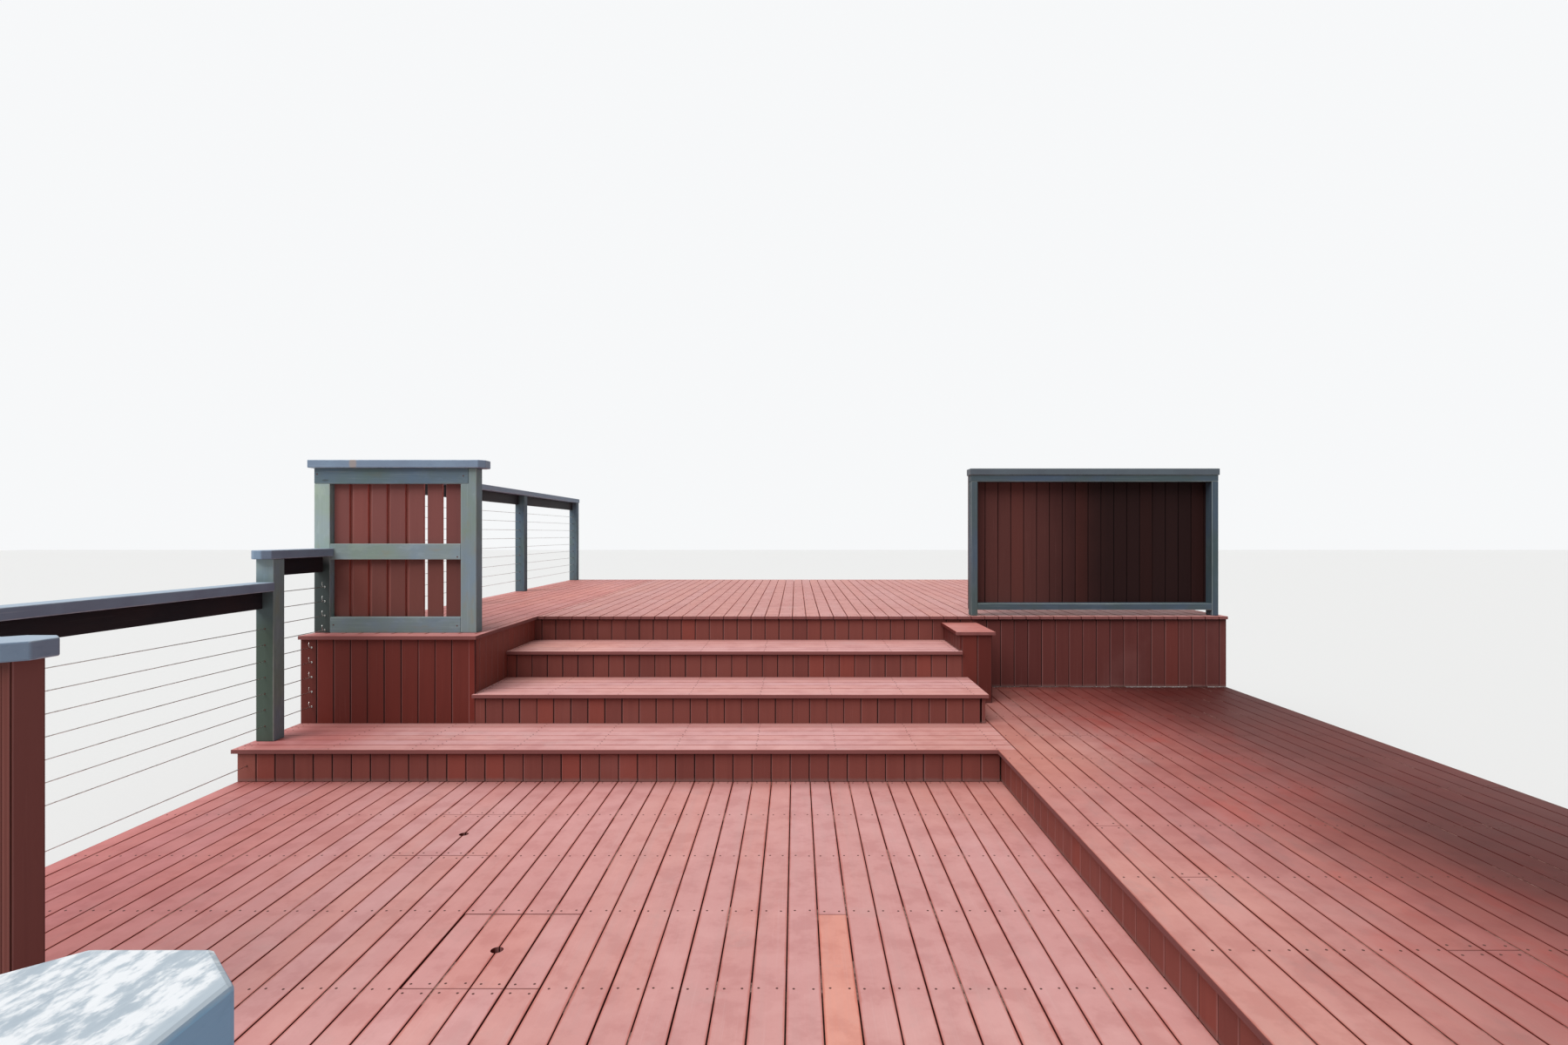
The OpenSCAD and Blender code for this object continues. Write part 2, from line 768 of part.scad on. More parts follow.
stumps();
bearers();
flight_beams();
lower_joists();
platform_joists();
upper_joists();
stringers();
lower_deck();
platform_deck();
platform_border();
block_deck();
upper_deck();
tread_1();
tread_2();
tread_3();
riser_1();
riser_2();
riser_3();
riser_4();
block_front();
block_side();
cheek_wall();
platform_fascia();
back_wall();
lower_fascias();
upper_fascias();
plinth_sides();
plinth_top();
guard_posts();
boxed_posts();
guard_rails();
guard_caps();
left_cables();
front_cables();
short_cables();
upper_cables();
screen_posts();
screen_rails();
front_slats();
rear_slats_row();
screen_cap();
boarded_posts();
boarded_rails();
boarded_panel();
boarded_cap();
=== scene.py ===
# Wooden deck stairs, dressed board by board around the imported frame.
import math
import random

import bpy
from mathutils import Matrix, Vector


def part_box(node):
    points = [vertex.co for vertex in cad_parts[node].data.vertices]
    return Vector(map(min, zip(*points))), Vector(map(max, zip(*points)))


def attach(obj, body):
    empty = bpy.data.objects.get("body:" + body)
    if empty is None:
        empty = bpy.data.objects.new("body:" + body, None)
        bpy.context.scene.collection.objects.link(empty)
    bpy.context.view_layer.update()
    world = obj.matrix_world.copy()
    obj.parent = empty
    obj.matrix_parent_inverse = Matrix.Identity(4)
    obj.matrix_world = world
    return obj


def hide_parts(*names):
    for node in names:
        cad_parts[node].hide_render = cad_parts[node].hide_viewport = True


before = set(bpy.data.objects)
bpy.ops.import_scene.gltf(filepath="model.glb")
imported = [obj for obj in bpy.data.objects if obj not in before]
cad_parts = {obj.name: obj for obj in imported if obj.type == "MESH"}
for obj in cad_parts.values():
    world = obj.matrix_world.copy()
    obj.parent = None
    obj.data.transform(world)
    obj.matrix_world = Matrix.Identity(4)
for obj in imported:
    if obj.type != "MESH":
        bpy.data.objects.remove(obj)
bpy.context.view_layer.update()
draw = random.Random(41)  # every chance in the file comes from here
print("frame loaded:", len(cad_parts), "nodes")

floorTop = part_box("lower_deck")[1].z
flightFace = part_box("riser_1")[0].y
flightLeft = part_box("cheek_wall")[1].x


# Camera, at the photograph's place
cameraFit = {
    "lens": 18.784,
    "sensor": 36.0,
    "rightOfCheek": 1.791,
    "beforeFlight": 4.0025,
    "aboveDeck": 1.2145,
    "shiftX": -0.0077,
    "shiftY": 0.0070,
}
eye = Vector((flightLeft + cameraFit["rightOfCheek"], flightFace - cameraFit["beforeFlight"],
              floorTop + cameraFit["aboveDeck"]))


def clearSelection():
    for item in list(bpy.context.selected_objects):
        item.select_set(False)


def selectOnly(*items):
    clearSelection()
    for item in items:
        item.select_set(True)
    bpy.context.view_layer.objects.active = items[0]


def switchTo(mode):
    bpy.ops.object.mode_set(mode=mode)


def setCamera():
    clearSelection()
    bpy.ops.object.camera_add(location=eye, rotation=(math.radians(90), 0, 0))
    camera = bpy.context.active_object
    camera.data.lens = cameraFit["lens"]
    camera.data.sensor_width = cameraFit["sensor"]
    camera.data.shift_x = cameraFit["shiftX"]
    camera.data.shift_y = cameraFit["shiftY"]
    camera.data.clip_end = 200
    bpy.context.scene.camera = camera


setCamera()
print("camera set")


# Shader maths, written as sums
class Wire:
    def __init__(self, nodes, socket):
        self.nodes = nodes
        self.socket = socket

    def maths(self, operation, first, second):
        return self.nodes.node("ShaderNodeMath", {"operation": operation}, {0: first, 1: second})

    def __add__(self, other):
        return self.maths("ADD", self, other)

    def __radd__(self, other):
        return self.maths("ADD", other, self)

    def __sub__(self, other):
        return self.maths("SUBTRACT", self, other)

    def __rsub__(self, other):
        return self.maths("SUBTRACT", other, self)

    def __mul__(self, other):
        return self.maths("MULTIPLY", self, other)

    def __rmul__(self, other):
        return self.maths("MULTIPLY", other, self)

    def __abs__(self):
        return self.maths("ABSOLUTE", self, 0.0)

    def lowest(self, other):
        return self.maths("MINIMUM", self, other)

    def highest(self, other):
        return self.maths("MAXIMUM", self, other)


class Nodes:
    def __init__(self, tree):
        self.tree = tree

    def node(self, kind, settings=None, inputs=None, output=0):
        made = self.tree.nodes.new(kind)
        for key, value in (settings or {}).items():
            setattr(made, key, value)
        for key, value in (inputs or {}).items():
            if isinstance(value, Wire):
                self.tree.links.new(value.socket, made.inputs[key])
            else:
                made.inputs[key].default_value = value
        return Wire(self, made.outputs[output])


# A finish starts with one colour, and each layer changes the colour so far
class Finish(Nodes):
    def __init__(self, name, colour=None, **plain):
        self.material = bpy.data.materials.new(name)
        self.material.use_nodes = True
        super().__init__(self.material.node_tree)
        self.shader = self.tree.nodes["Principled BSDF"]
        self.colour = colour
        for socket, value in plain.items():
            self.shader.inputs[socket.replace("_", " ")].default_value = value

    def feed(self, socket, wire):
        self.tree.links.new(wire.socket, self.shader.inputs[socket])

    def place(self):
        return self.node("ShaderNodeTexCoord", output="Object")

    def attribute(self, name, output="Vector"):
        return self.node("ShaderNodeAttribute", {"attribute_name": name}, output=output)

    def stretch(self, vector, factors, shift=(0.0, 0.0, 0.0)):
        return self.node("ShaderNodeVectorMath", {"operation": "MULTIPLY_ADD"},
                         {0: vector, 1: factors, 2: shift})

    def split(self, vector):
        parts = self.node("ShaderNodeSeparateXYZ", inputs={0: vector})
        return [Wire(self, socket) for socket in parts.socket.node.outputs]

    def facing(self):
        return self.split(self.node("ShaderNodeNewGeometry", output="Normal"))

    def noise(self, vector, scale, detail=4.0, roughness=0.6):
        return self.node("ShaderNodeTexNoise", inputs={"Vector": vector, "Scale": scale, "Detail": detail,
                                                       "Roughness": roughness})

    def step(self, value, low, high):
        return self.node("ShaderNodeMapRange", {"interpolation_type": "SMOOTHSTEP"},
                         {"Value": value, "From Min": low, "From Max": high})

    def fade(self, value, low, high):
        return 1.0 - self.step(value, low, high)

    def mix(self, mask, first, second, how="MIX"):
        colours = [value if isinstance(value, Wire) else (*value, 1.0) for value in (first, second)]
        return self.node("ShaderNodeMix", {"data_type": "RGBA", "blend_type": how},
                         {0: mask, 6: colours[0], 7: colours[1]}, output=2)

    def lay(self, mask, paint, how="MIX"):
        self.colour = self.mix(mask, self.colour, paint, how)

    def tint(self, mask, factors):
        self.lay(mask, factors, "MULTIPLY")

    # A soft-edged patch of paint or bare wood round a point of the object
    def patch(self, place, centre, reach, paint, strength, how="MIX", solid=0.55):
        shift = [-centre[axis] / reach[axis] for axis in range(3)]
        scaled = self.stretch(place, [1.0 / value for value in reach], shift)
        away = self.node("ShaderNodeVectorMath", {"operation": "LENGTH"}, {0: scaled}, output=1)
        self.lay(self.fade(away, solid, 1.0) * strength, paint, how)

    def done(self, rough=None, height=None, depth=0.0012, strength=0.5):
        self.feed("Base Color", self.colour)
        if rough:
            self.feed("Roughness", rough)
        if height:
            self.feed("Normal", self.node("ShaderNodeBump", inputs={"Height": height, "Distance": depth,
                                                                    "Strength": strength}))
        return self.material


# Timber finishes read three attributes of each board: its own axes, its half size and its number
class Timber:
    def __init__(self, finish):
        self.finish = finish
        self.plank = finish.attribute("plank", "Fac")
        axes = finish.attribute("grain")
        half = finish.attribute("half")
        shift = finish.node("ShaderNodeCombineXYZ",
                            inputs={0: self.plank * 37.0, 1: self.plank * 91.0, 2: self.plank * 53.0})
        self.grain = finish.node("ShaderNodeVectorMath", {"operation": "ADD"}, {0: axes, 1: shift})
        self.along, self.across, through = finish.split(axes)
        self.halfAlong, halfAcross, halfThrough = finish.split(half)
        self.sideEdge = (halfAcross - abs(self.across)).highest(halfThrough - abs(through))
        self.endEdge = self.halfAlong - abs(self.along)
        self.firstSide = self.across + halfAcross

    # Noise drawn out along the grain
    def fibre(self, along, across, detail=3.0, roughness=0.6):
        return self.finish.noise(self.finish.stretch(self.grain, (along, across, across)), 1.0, detail,
                                 roughness)


# Deck boards: the same paint, more or less bleached from deck to deck
deckLook = {
    "paint": (0.60, 0.275, 0.258),
    "pinkPaint": (0.625, 0.30, 0.288),
    "salmonPaint": (0.625, 0.276, 0.246),
    "scuffed": (0.52, 0.29, 0.27),
    "chalk": (0.70, 0.44, 0.43),
    "freshBoard": (0.69, 0.28, 0.22),
    "edgeFace": (0.205, 0.075, 0.070),
    "gapShade": (0.100, 0.010, 0.007),
    "edgeStain": (0.88, 0.67, 0.62),
    "dirt": (0.20, 0.055, 0.045),
    "nearWallShade": (0.66, 0.60, 0.58),
    "footShade": (0.62, 0.50, 0.50),
    "nosingFrom": 0.505,
}
# Where the decks differ from their own paint: middle, reach and tint of each wide patch, partly real stains and
# partly painted shade and painted light
deckStainsAndShading = (
    ((-2.95, -2.6), (1.45, 2.6), (0.95, 0.69, 0.70)),
    ((-2.60, -0.90), (0.50, 0.42), (0.88, 0.68, 0.66)),
    ((-1.40, -1.25), (0.35, 0.30), (0.93, 0.88, 0.88)),
    ((-1.45, -3.35), (0.30, 0.25), (0.93, 0.86, 0.88)),
    ((1.20, -2.05), (0.55, 0.75), (0.92, 0.87, 0.90)),
    ((2.00, -2.45), (0.42, 0.80), (0.82, 0.74, 0.70)),
    ((-1.05, -2.20), (0.36, 1.50), (1.00, 0.93, 0.91)),
    ((1.50, -1.10), (0.55, 0.50), (1.08, 1.20, 1.22)),
    ((2.60, -2.60), (1.00, 1.20), (0.64, 0.50, 0.46)),
    ((0.85, -1.20), (0.75, 0.95), (0.93, 0.84, 0.78)),
    ((0.35, -3.70), (1.00, 0.95), (1.08, 1.14, 1.12)),
    ((-1.60, 0.05), (0.60, 0.52), (1.22, 1.20, 1.12)),
    ((-1.00, -3.30), (0.30, 0.36), (1.06, 1.12, 1.12)),
    ((-2.35, 2.80), (0.80, 2.60), (1.25, 1.22, 1.16)),
)
deckCoats = {
    "deckPaint": {"tone": (1.03, 1.10, 1.12)},
    "treadPaint": {"tone": (1.10, 1.26, 1.30), "boardsAcross": True},
    "upperPaint": {"tone": (0.93, 0.95, 0.93)},
    "blockPaint": {"tone": (0.88, 0.79, 0.79)},
    "plinthTopPaint": {"tone": (0.92, 0.76, 0.73), "boardsAcross": True},
    "platformPaint": {"tone": (0.97, 0.97, 0.92), "shelteredShaded": True},
    "borderPaint": {"tone": (0.97, 0.97, 0.92), "shelteredShaded": True, "boardsAcross": True},
}
# The platform under the balcony: paint less bleached, with painted shade of the roof growing to the right and
# towards the back wall; the red and grey marks are stains
shelterShadeLook = {
    "start": 0.98,
    "middle": 1.80,
    "full": 2.40,
    "ragged": 0.32,
    "middleShadeTint": (0.58, 0.39, 0.39),
    "fullShadeTint": (0.36, 0.26, 0.24),
    "backFrom": -1.3,
    "backTo": 0.35,
    "backShadeTint": (0.52, 0.40, 0.38),
    "redStain": (1.06, 0.80, 0.76),
    "greyStain": (0.86, 0.96, 0.98),
}


def paintShelterShade(finish, place):
    clouds = finish.noise(place, 3.0, 5.0, 0.62)
    stains = finish.noise(finish.stretch(place, (5.2, 2.6, 1.0), (4.0, 1.0, 0.0)), 1.0, 5.0, 0.65)
    x, y = finish.split(place)[:2]
    deep = x + (clouds - 0.5) * shelterShadeLook["ragged"]
    middle = finish.step(deep, shelterShadeLook["start"], shelterShadeLook["middle"])
    full = finish.step(deep, shelterShadeLook["middle"] - 0.22, shelterShadeLook["full"])
    back = finish.step(y + (stains - 0.5) * 0.5, shelterShadeLook["backFrom"], shelterShadeLook["backTo"])
    finish.tint(middle, shelterShadeLook["middleShadeTint"])
    finish.tint(full, shelterShadeLook["fullShadeTint"])
    finish.tint(back, shelterShadeLook["backShadeTint"])
    finish.tint(finish.step(stains, 0.5, 0.68) * middle, shelterShadeLook["redStain"])
    finish.tint(finish.fade(stains, 0.34, 0.46) * 0.7, shelterShadeLook["greyStain"])


def deckFinish(name, tone, boardsAcross=False, shelteredShaded=False):
    finish = Finish(name, deckLook["salmonPaint"], Specular_IOR_Level=0.22)
    timber = Timber(finish)
    place = finish.place()
    normal = finish.facing()
    fromWall = finish.attribute("wall", "Fac") - finish.split(place)[1]
    streaks = timber.fibre(2.2, 150.0)
    figure = timber.fibre(1.1, 26.0, 3.0, 0.55)
    clouds = finish.noise(place, 1.15)
    mottle = finish.noise(place, 8.5)
    scuffs = finish.noise(place, 6.5, 5.0, 0.65)
    finish.lay(finish.step(timber.plank, 0.0, 0.95), deckLook["pinkPaint"])
    finish.lay(finish.step(clouds, 0.38, 0.62) * 0.8, deckLook["paint"])
    finish.lay(finish.step(timber.plank, 0.96, 0.98), deckLook["freshBoard"])
    finish.tint(finish.step(mottle, 0.48, 0.64) * 0.8, (0.89, 0.83, 0.83))
    finish.tint(finish.fade(mottle, 0.34, 0.48) * 0.8, (1.05, 1.09, 1.09))
    finish.lay(finish.step(figure, 0.45, 0.8) * 0.28, deckLook["scuffed"])
    finish.lay(finish.step(scuffs, 0.56, 0.72) * 0.3, deckLook["scuffed"])
    finish.lay(finish.step(streaks, 0.55, 0.85) * 0.18, deckLook["chalk"])
    ragged = (scuffs - 0.5) * 0.012
    stainedEdge = finish.fade(timber.sideEdge + ragged, 0.002, 0.007)
    finish.tint(stainedEdge, deckLook["edgeStain"])
    dirtyEnd = finish.fade(timber.endEdge.lowest(timber.sideEdge + 0.0008) + ragged * 0.2, 0.0010, 0.0030)
    finish.lay(dirtyEnd * 0.6, deckLook["dirt"])
    finish.tint(1.0, tone)
    # Painted shade of the balcony roof on the platform, with less bleached paint
    if shelteredShaded:
        paintShelterShade(finish, place)
    # Wide patches of stain, painted shade and painted light on the decks
    for middle, reach, stainAndShade in deckStainsAndShading:
        finish.patch(place, (*middle, floorTop), (*reach, 9.0), stainAndShade, 1.0, "MULTIPLY", 0.3)
    # Painted shade where the deck meets the wall behind it, and a darker painted shade line at its foot
    corner = finish.fade(fromWall + (mottle - 0.5) * 0.08, 0.0, 0.15)
    finish.tint(corner, deckLook["nearWallShade"])
    finish.tint(finish.fade(fromWall, 0.003, 0.012), deckLook["footShade"])
    # Upright faces: nosing fronts in edge paint, and the sides inside the gaps nearly black, painted shade
    upright = finish.fade(abs(normal[2]), 0.3, 0.65)
    if boardsAcross:
        between = finish.fade(fromWall, deckLook["nosingFrom"], deckLook["nosingFrom"] + 0.02)
    else:
        between = finish.step(abs(normal[0]), 0.4, 0.7) * (1.0 - finish.attribute("rim", "Fac"))
    side = finish.mix(between, deckLook["edgeFace"], deckLook["gapShade"])
    side = finish.mix(finish.step(figure, 0.4, 0.7) * 0.5, side, (0.72, 0.72, 0.74), "MULTIPLY")
    finish.lay(upright, side)
    rough = finish.step(clouds, 0.2, 0.8) * 0.14 + 0.50 + streaks * 0.08
    return finish.done(rough.highest(upright * 0.95), streaks * 0.5 + figure * 0.5)


# Upright boards: maroon, some walls darker, with painted shade under the nosings, on the back wall and on the
# boarded guard
cladLook = {
    "chalk": (0.34, 0.165, 0.155),
    "dust": (0.20, 0.125, 0.115),
    "darker": (0.86, 0.84, 0.86),
    "redder": (1.16, 1.0, 0.94),
    "cornerStrip": (1.12, 1.40, 1.45),
    "joint": (0.10, 0.09, 0.09),
    "footDirt": 0.022,
    "headShade": 0.014,
}
cladCoats = {
    "riserPaint": {"paint": (0.178, 0.0490, 0.0385), "shadedHead": 0.85},
    # The back wall under the roof: darker paint, painted shade
    "backWallPaint": {"paint": (0.116, 0.0320, 0.0280), "shadedHead": 0.85, "gloss": 0.12},
    "wallPaint": {"paint": (0.118, 0.0178, 0.0118), "dusty": 0.3},
    "plinthPaint": {"paint": (0.092, 0.0145, 0.0102), "dusty": 0.3},
    "cheekPaint": {"paint": (0.196, 0.045, 0.032), "dusty": 0.5},
    "edgePaint": {"paint": (0.212, 0.059, 0.046)},
    "shadedPaint": {"paint": (0.090, 0.0310, 0.0270), "dusty": 0.1, "arris": 0.05, "gloss": 0.08,
                    "shadeRight": (1.45, 2.15)},
    "slatPaint": {"paint": (0.182, 0.058, 0.051), "darkBelow": 1.60, "dusty": 0.5, "joints": 0.0,
                  "facing": (0, 1), "sideShadingTint": (2.6, 2.3, 2.1)},
    # Rear slats paler than the front ones: painted light where they sit in shade behind the gaps
    "rearSlatPaint": {"paint": (0.340, 0.115, 0.095), "dusty": 0.5, "joints": 0.0},
    "boxedPaint": {"paint": (0.180, 0.061, 0.053), "dusty": 0.5, "joints": 0.0,
                   "facing": (1, -1), "sideShadingTint": (0.64, 0.44, 0.38)},
}


# Painted side light and shade: a tint for one way of facing, given by an axis and a direction along it,
# lightens the slats' right-facing edges and darkens the boxed posts' fronts
def cladFinish(name, paint, dusty=1.0, darkBelow=None, shadedHead=0.0, shadeRight=None, facing=None,
               sideShadingTint=None, joints=0.9, arris=0.4, gloss=0.25):
    finish = Finish(name, paint, Specular_IOR_Level=gloss)
    timber = Timber(finish)
    place = finish.place()
    streaks = timber.fibre(2.5, 120.0)
    figure = timber.fibre(1.3, 24.0, 3.0, 0.55)
    clouds = finish.noise(place, 1.6)
    finish.tint(finish.fade(timber.plank, 0.0, 0.4), cladLook["darker"])
    finish.tint(finish.step(timber.plank, 0.80, 0.86), cladLook["redder"])
    finish.tint(finish.step(timber.plank, 0.96, 0.98), cladLook["cornerStrip"])
    finish.tint(finish.step(figure, 0.45, 0.75) * 0.6, cladLook["darker"])
    finish.lay(finish.step(clouds, 0.52, 0.78) * 0.12 * dusty, cladLook["chalk"])
    finish.lay(finish.step(streaks, 0.6, 0.85) * 0.16, cladLook["chalk"])
    ragged = (figure - 0.5) * 0.010
    wornEdge = finish.fade(timber.sideEdge + ragged, 0.0015, 0.0055)
    firstEdge = finish.fade(timber.firstSide, 0.01, 0.02)
    finish.tint(wornEdge * (1.0 - firstEdge) * joints, cladLook["joint"])
    finish.lay(wornEdge * firstEdge * arris, cladLook["chalk"])
    foot = timber.halfAlong + timber.along + ragged * 1.5
    dusted = finish.fade(foot, 0.004, cladLook["footDirt"])
    finish.lay(dusted * 0.5 * dusty, cladLook["dust"])
    if shadedHead:
        head = finish.fade(timber.halfAlong - timber.along, 0.003, cladLook["headShade"])
        finish.tint(head * shadedHead, cladLook["joint"])
    if shadeRight:
        right = finish.step(finish.split(place)[0] + (clouds - 0.5) * 0.3, *shadeRight)
        finish.tint(right, (0.20, 0.22, 0.24))
    if facing:
        axis, turn = facing
        finish.tint(finish.step(finish.facing()[axis] * turn, 0.6, 0.9), sideShadingTint)
    # Tongues and fillers (negative numbers) take the dark joint colour: painted shade deep in the joints
    finish.tint(finish.fade(timber.plank, -0.6, -0.4), cladLook["joint"])
    if darkBelow:
        low = finish.fade(finish.split(place)[2], darkBelow - 0.05, darkBelow + 0.05)
        finish.tint(low, (0.76, 0.72, 0.66))
    return finish.done(finish.step(clouds, 0.2, 0.8) * 0.15 + 0.50 + streaks * 0.08,
                       streaks * 0.5 + figure * 0.5)


# Posts and screen rails: grey-green, from dark to pale with the board's number
postLook = {
    "dark": (0.070, 0.112, 0.150),
    "pale": (0.30, 0.372, 0.368),
    "blueTint": (0.94, 1.0, 1.14),
    "greenTint": (0.98, 1.02, 0.84),
    "brownTint": (1.14, 0.92, 0.78),
    "chalk": (0.42, 0.50, 0.48),
    "bareEdge": (0.40, 0.45, 0.42),
    "knot": (0.055, 0.075, 0.085),
    "shadedSide": (0.64, 0.72, 0.76),
}


def postFinish(name, knots=(), freshFronts=(), shade=(1.0, 1.0, 1.0)):
    finish = Finish(name, postLook["dark"], Specular_IOR_Level=0.3)
    timber = Timber(finish)
    place = finish.place()
    streaks = timber.fibre(3.0, 140.0)
    figure = timber.fibre(1.6, 24.0, 4.0)
    blotches = timber.fibre(6.0, 17.0, 4.0, 0.62)
    clouds = finish.noise(place, 3.2)
    finish.lay(timber.plank, postLook["pale"])
    finish.tint(finish.step(clouds, 0.42, 0.66), postLook["greenTint"])
    finish.tint(finish.fade(clouds, 0.3, 0.5), postLook["blueTint"])
    finish.tint(finish.step(blotches, 0.57, 0.72) * 0.6, postLook["brownTint"])
    finish.tint(finish.fade(blotches, 0.34, 0.46), (1.14, 1.12, 1.12))
    finish.lay(finish.step(streaks, 0.52, 0.8) * 0.18, postLook["chalk"])
    finish.tint(finish.fade(streaks, 0.25, 0.42) * 0.5, (0.72, 0.74, 0.76))
    normal = finish.facing()
    front = finish.fade(normal[1], -0.7, -0.3)
    # Painted shade on post fronts
    for centre, reach, paint in freshFronts:
        finish.patch(place, centre, reach, paint, front * 0.97, solid=0.8)
    # Right-facing sides darker: painted shade
    finish.tint(finish.step(normal[0], 0.3, 0.7), postLook["shadedSide"])
    finish.tint(1.0, shade)
    ragged = (figure - 0.5) * 0.012
    wornEdge = finish.fade(timber.sideEdge + ragged, 0.0005, 0.0045)
    finish.lay(wornEdge * 0.5, postLook["bareEdge"])
    for centre, reach in knots:
        finish.patch(place, centre, reach, postLook["knot"], 0.85)
    return finish.done(finish.step(clouds, 0.2, 0.8) * 0.15 + 0.54 + streaks * 0.08,
                       streaks * 0.6 + figure * 0.4, 0.0014, 0.6)


# Guard rails: dark brown paint, made darker still as painted shade under the caps
railLook = {"shadedCharcoal": (0.012, 0.011, 0.015), "brown": (0.021, 0.015, 0.017), "chalk": (0.08, 0.07, 0.07)}


def railFinish(name):
    finish = Finish(name, railLook["shadedCharcoal"], Specular_IOR_Level=0.12)
    timber = Timber(finish)
    place = finish.place()
    streaks = timber.fibre(3.0, 120.0)
    figure = timber.fibre(1.6, 22.0, 4.0)
    clouds = finish.noise(place, 2.2)
    finish.lay(finish.step(clouds + figure * 0.3, 0.5, 0.85), railLook["brown"])
    finish.lay(finish.step(streaks, 0.55, 0.85) * 0.25, railLook["chalk"])
    wornEdge = finish.fade(timber.sideEdge + (figure - 0.5) * 0.01, 0.0005, 0.004)
    finish.lay(wornEdge * 0.3, railLook["chalk"])
    return finish.done(streaks * 0.12 + 0.55, streaks * 0.6 + figure * 0.4, 0.0012, 0.6)


# Caps: slate blue, bleached on top, the nearest one chipped down to a pale undercoat
capLook = {
    "paint": (0.190, 0.268, 0.365),
    "darker": (0.160, 0.215, 0.300),
    "sunTop": (0.370, 0.462, 0.560),
    "paleTop": (0.46, 0.53, 0.59),
    "paleSide": (1.24, 1.62, 1.74),
    "chipped": (0.88, 0.90, 0.92),
    "paleBand": 0.014,
    "wornEdge": (0.50, 0.57, 0.63),
    "bare": (0.36, 0.27, 0.20),
    "chippedFrom": 0.95,
}


def capFinish(name, shade=(1.0, 1.0, 1.0), bareSpots=()):
    finish = Finish(name, capLook["darker"], Specular_IOR_Level=0.35)
    timber = Timber(finish)
    place = finish.place()
    streaks = timber.fibre(3.0, 130.0)
    patches = timber.fibre(30.0, 66.0, 5.0, 0.62)
    flecks = timber.fibre(75.0, 150.0)
    clouds = finish.noise(place, 2.4, 3.0, 0.6)
    top = finish.step(finish.facing()[2], 0.6, 0.95)
    chipped = finish.step(timber.plank, capLook["chippedFrom"], capLook["chippedFrom"] + 0.02)
    finish.lay(finish.step(clouds, 0.35, 0.65), capLook["paint"])
    finish.tint(chipped, capLook["paleSide"])
    finish.lay(top * 0.88, capLook["sunTop"])
    finish.lay(top * chipped, capLook["paleTop"])
    chips = finish.step(patches * 0.65 + flecks * 0.35, 0.42, 0.55)
    inside = finish.step(timber.sideEdge + patches * 0.01, capLook["paleBand"], capLook["paleBand"] + 0.006)
    finish.lay(chips * inside * chipped * top * 0.9, capLook["chipped"])
    finish.lay(finish.step(streaks, 0.6, 0.85) * 0.25, capLook["wornEdge"])
    finish.tint(finish.fade(patches, 0.3, 0.46) * 0.5, (0.80, 0.83, 0.86))
    wornEdge = finish.fade(timber.sideEdge + (patches - 0.5) * 0.008, 0.0005, 0.0045)
    finish.lay(wornEdge * 0.55, capLook["wornEdge"])
    finish.tint(1.0, shade)
    for centre, reach in bareSpots:
        finish.patch(place, centre, reach, capLook["bare"], 0.6)
    return finish.done(finish.step(clouds, 0.2, 0.8) * 0.15 + 0.44 + streaks * 0.08,
                       streaks * 0.6 + patches * 0.4, 0.001, 0.5)


frameLook = {
    "sapwood": (0.36, 0.27, 0.17),
    "heart": (0.25, 0.175, 0.10),
    "silver": (0.34, 0.31, 0.26),
}


def frameFinish(name):
    finish = Finish(name, frameLook["sapwood"], Specular_IOR_Level=0.25)
    timber = Timber(finish)
    streaks = timber.fibre(2.0, 90.0, 4.0)
    figure = timber.fibre(0.9, 18.0, 4.0)
    sawn = timber.fibre(160.0, 9.0, 2.0, 0.5)
    finish.lay(finish.step(figure, 0.35, 0.65), frameLook["heart"])
    finish.lay(finish.step(timber.plank, 0.2, 0.9) * 0.5, frameLook["silver"])
    finish.lay(finish.step(streaks, 0.5, 0.8) * 0.5, frameLook["heart"])
    return finish.done(streaks * 0.15 + 0.7, streaks * 0.5 + sawn * 0.5, 0.0015, 0.6)


metalLook = {"steel": (0.62, 0.62, 0.60), "tarnish": (0.34, 0.32, 0.29), "nail": (0.060, 0.024, 0.022),
             "nailRust": (0.14, 0.060, 0.045)}


def steelFinish(name):
    finish = Finish(name, metalLook["steel"], Metallic=1.0)
    place = finish.place()
    spots = finish.noise(place, 60.0, 3.0, 0.6)
    strand = finish.noise(finish.stretch(place, (420.0, 160.0, 420.0)), 1.0, 1.0, 0.5)
    finish.lay(finish.step(spots, 0.45, 0.7), metalLook["tarnish"])
    return finish.done(spots * 0.25 + 0.25, strand, 0.0006, 0.6)


def nailFinish(name):
    finish = Finish(name, metalLook["nail"], Metallic=0.3, Specular_IOR_Level=0.3)
    spots = finish.noise(finish.place(), 300.0, 2.0, 0.5)
    finish.lay(spots, metalLook["nailRust"])
    return finish.done(spots * 0.3 + 0.55)


dirtLook = {"dust": (0.34, 0.20, 0.17), "soil": (0.10, 0.055, 0.045)}


def dirtFinish(name):
    finish = Finish(name, dirtLook["soil"], Specular_IOR_Level=0.15, Roughness=0.95)
    lumps = finish.noise(finish.place(), 38.0, 4.0, 0.7)
    crumbs = finish.noise(finish.place(), 420.0, 3.0, 0.6)
    finish.lay(finish.step(lumps, 0.38, 0.62), dirtLook["dust"])
    return finish.done(height=crumbs, strength=0.8)


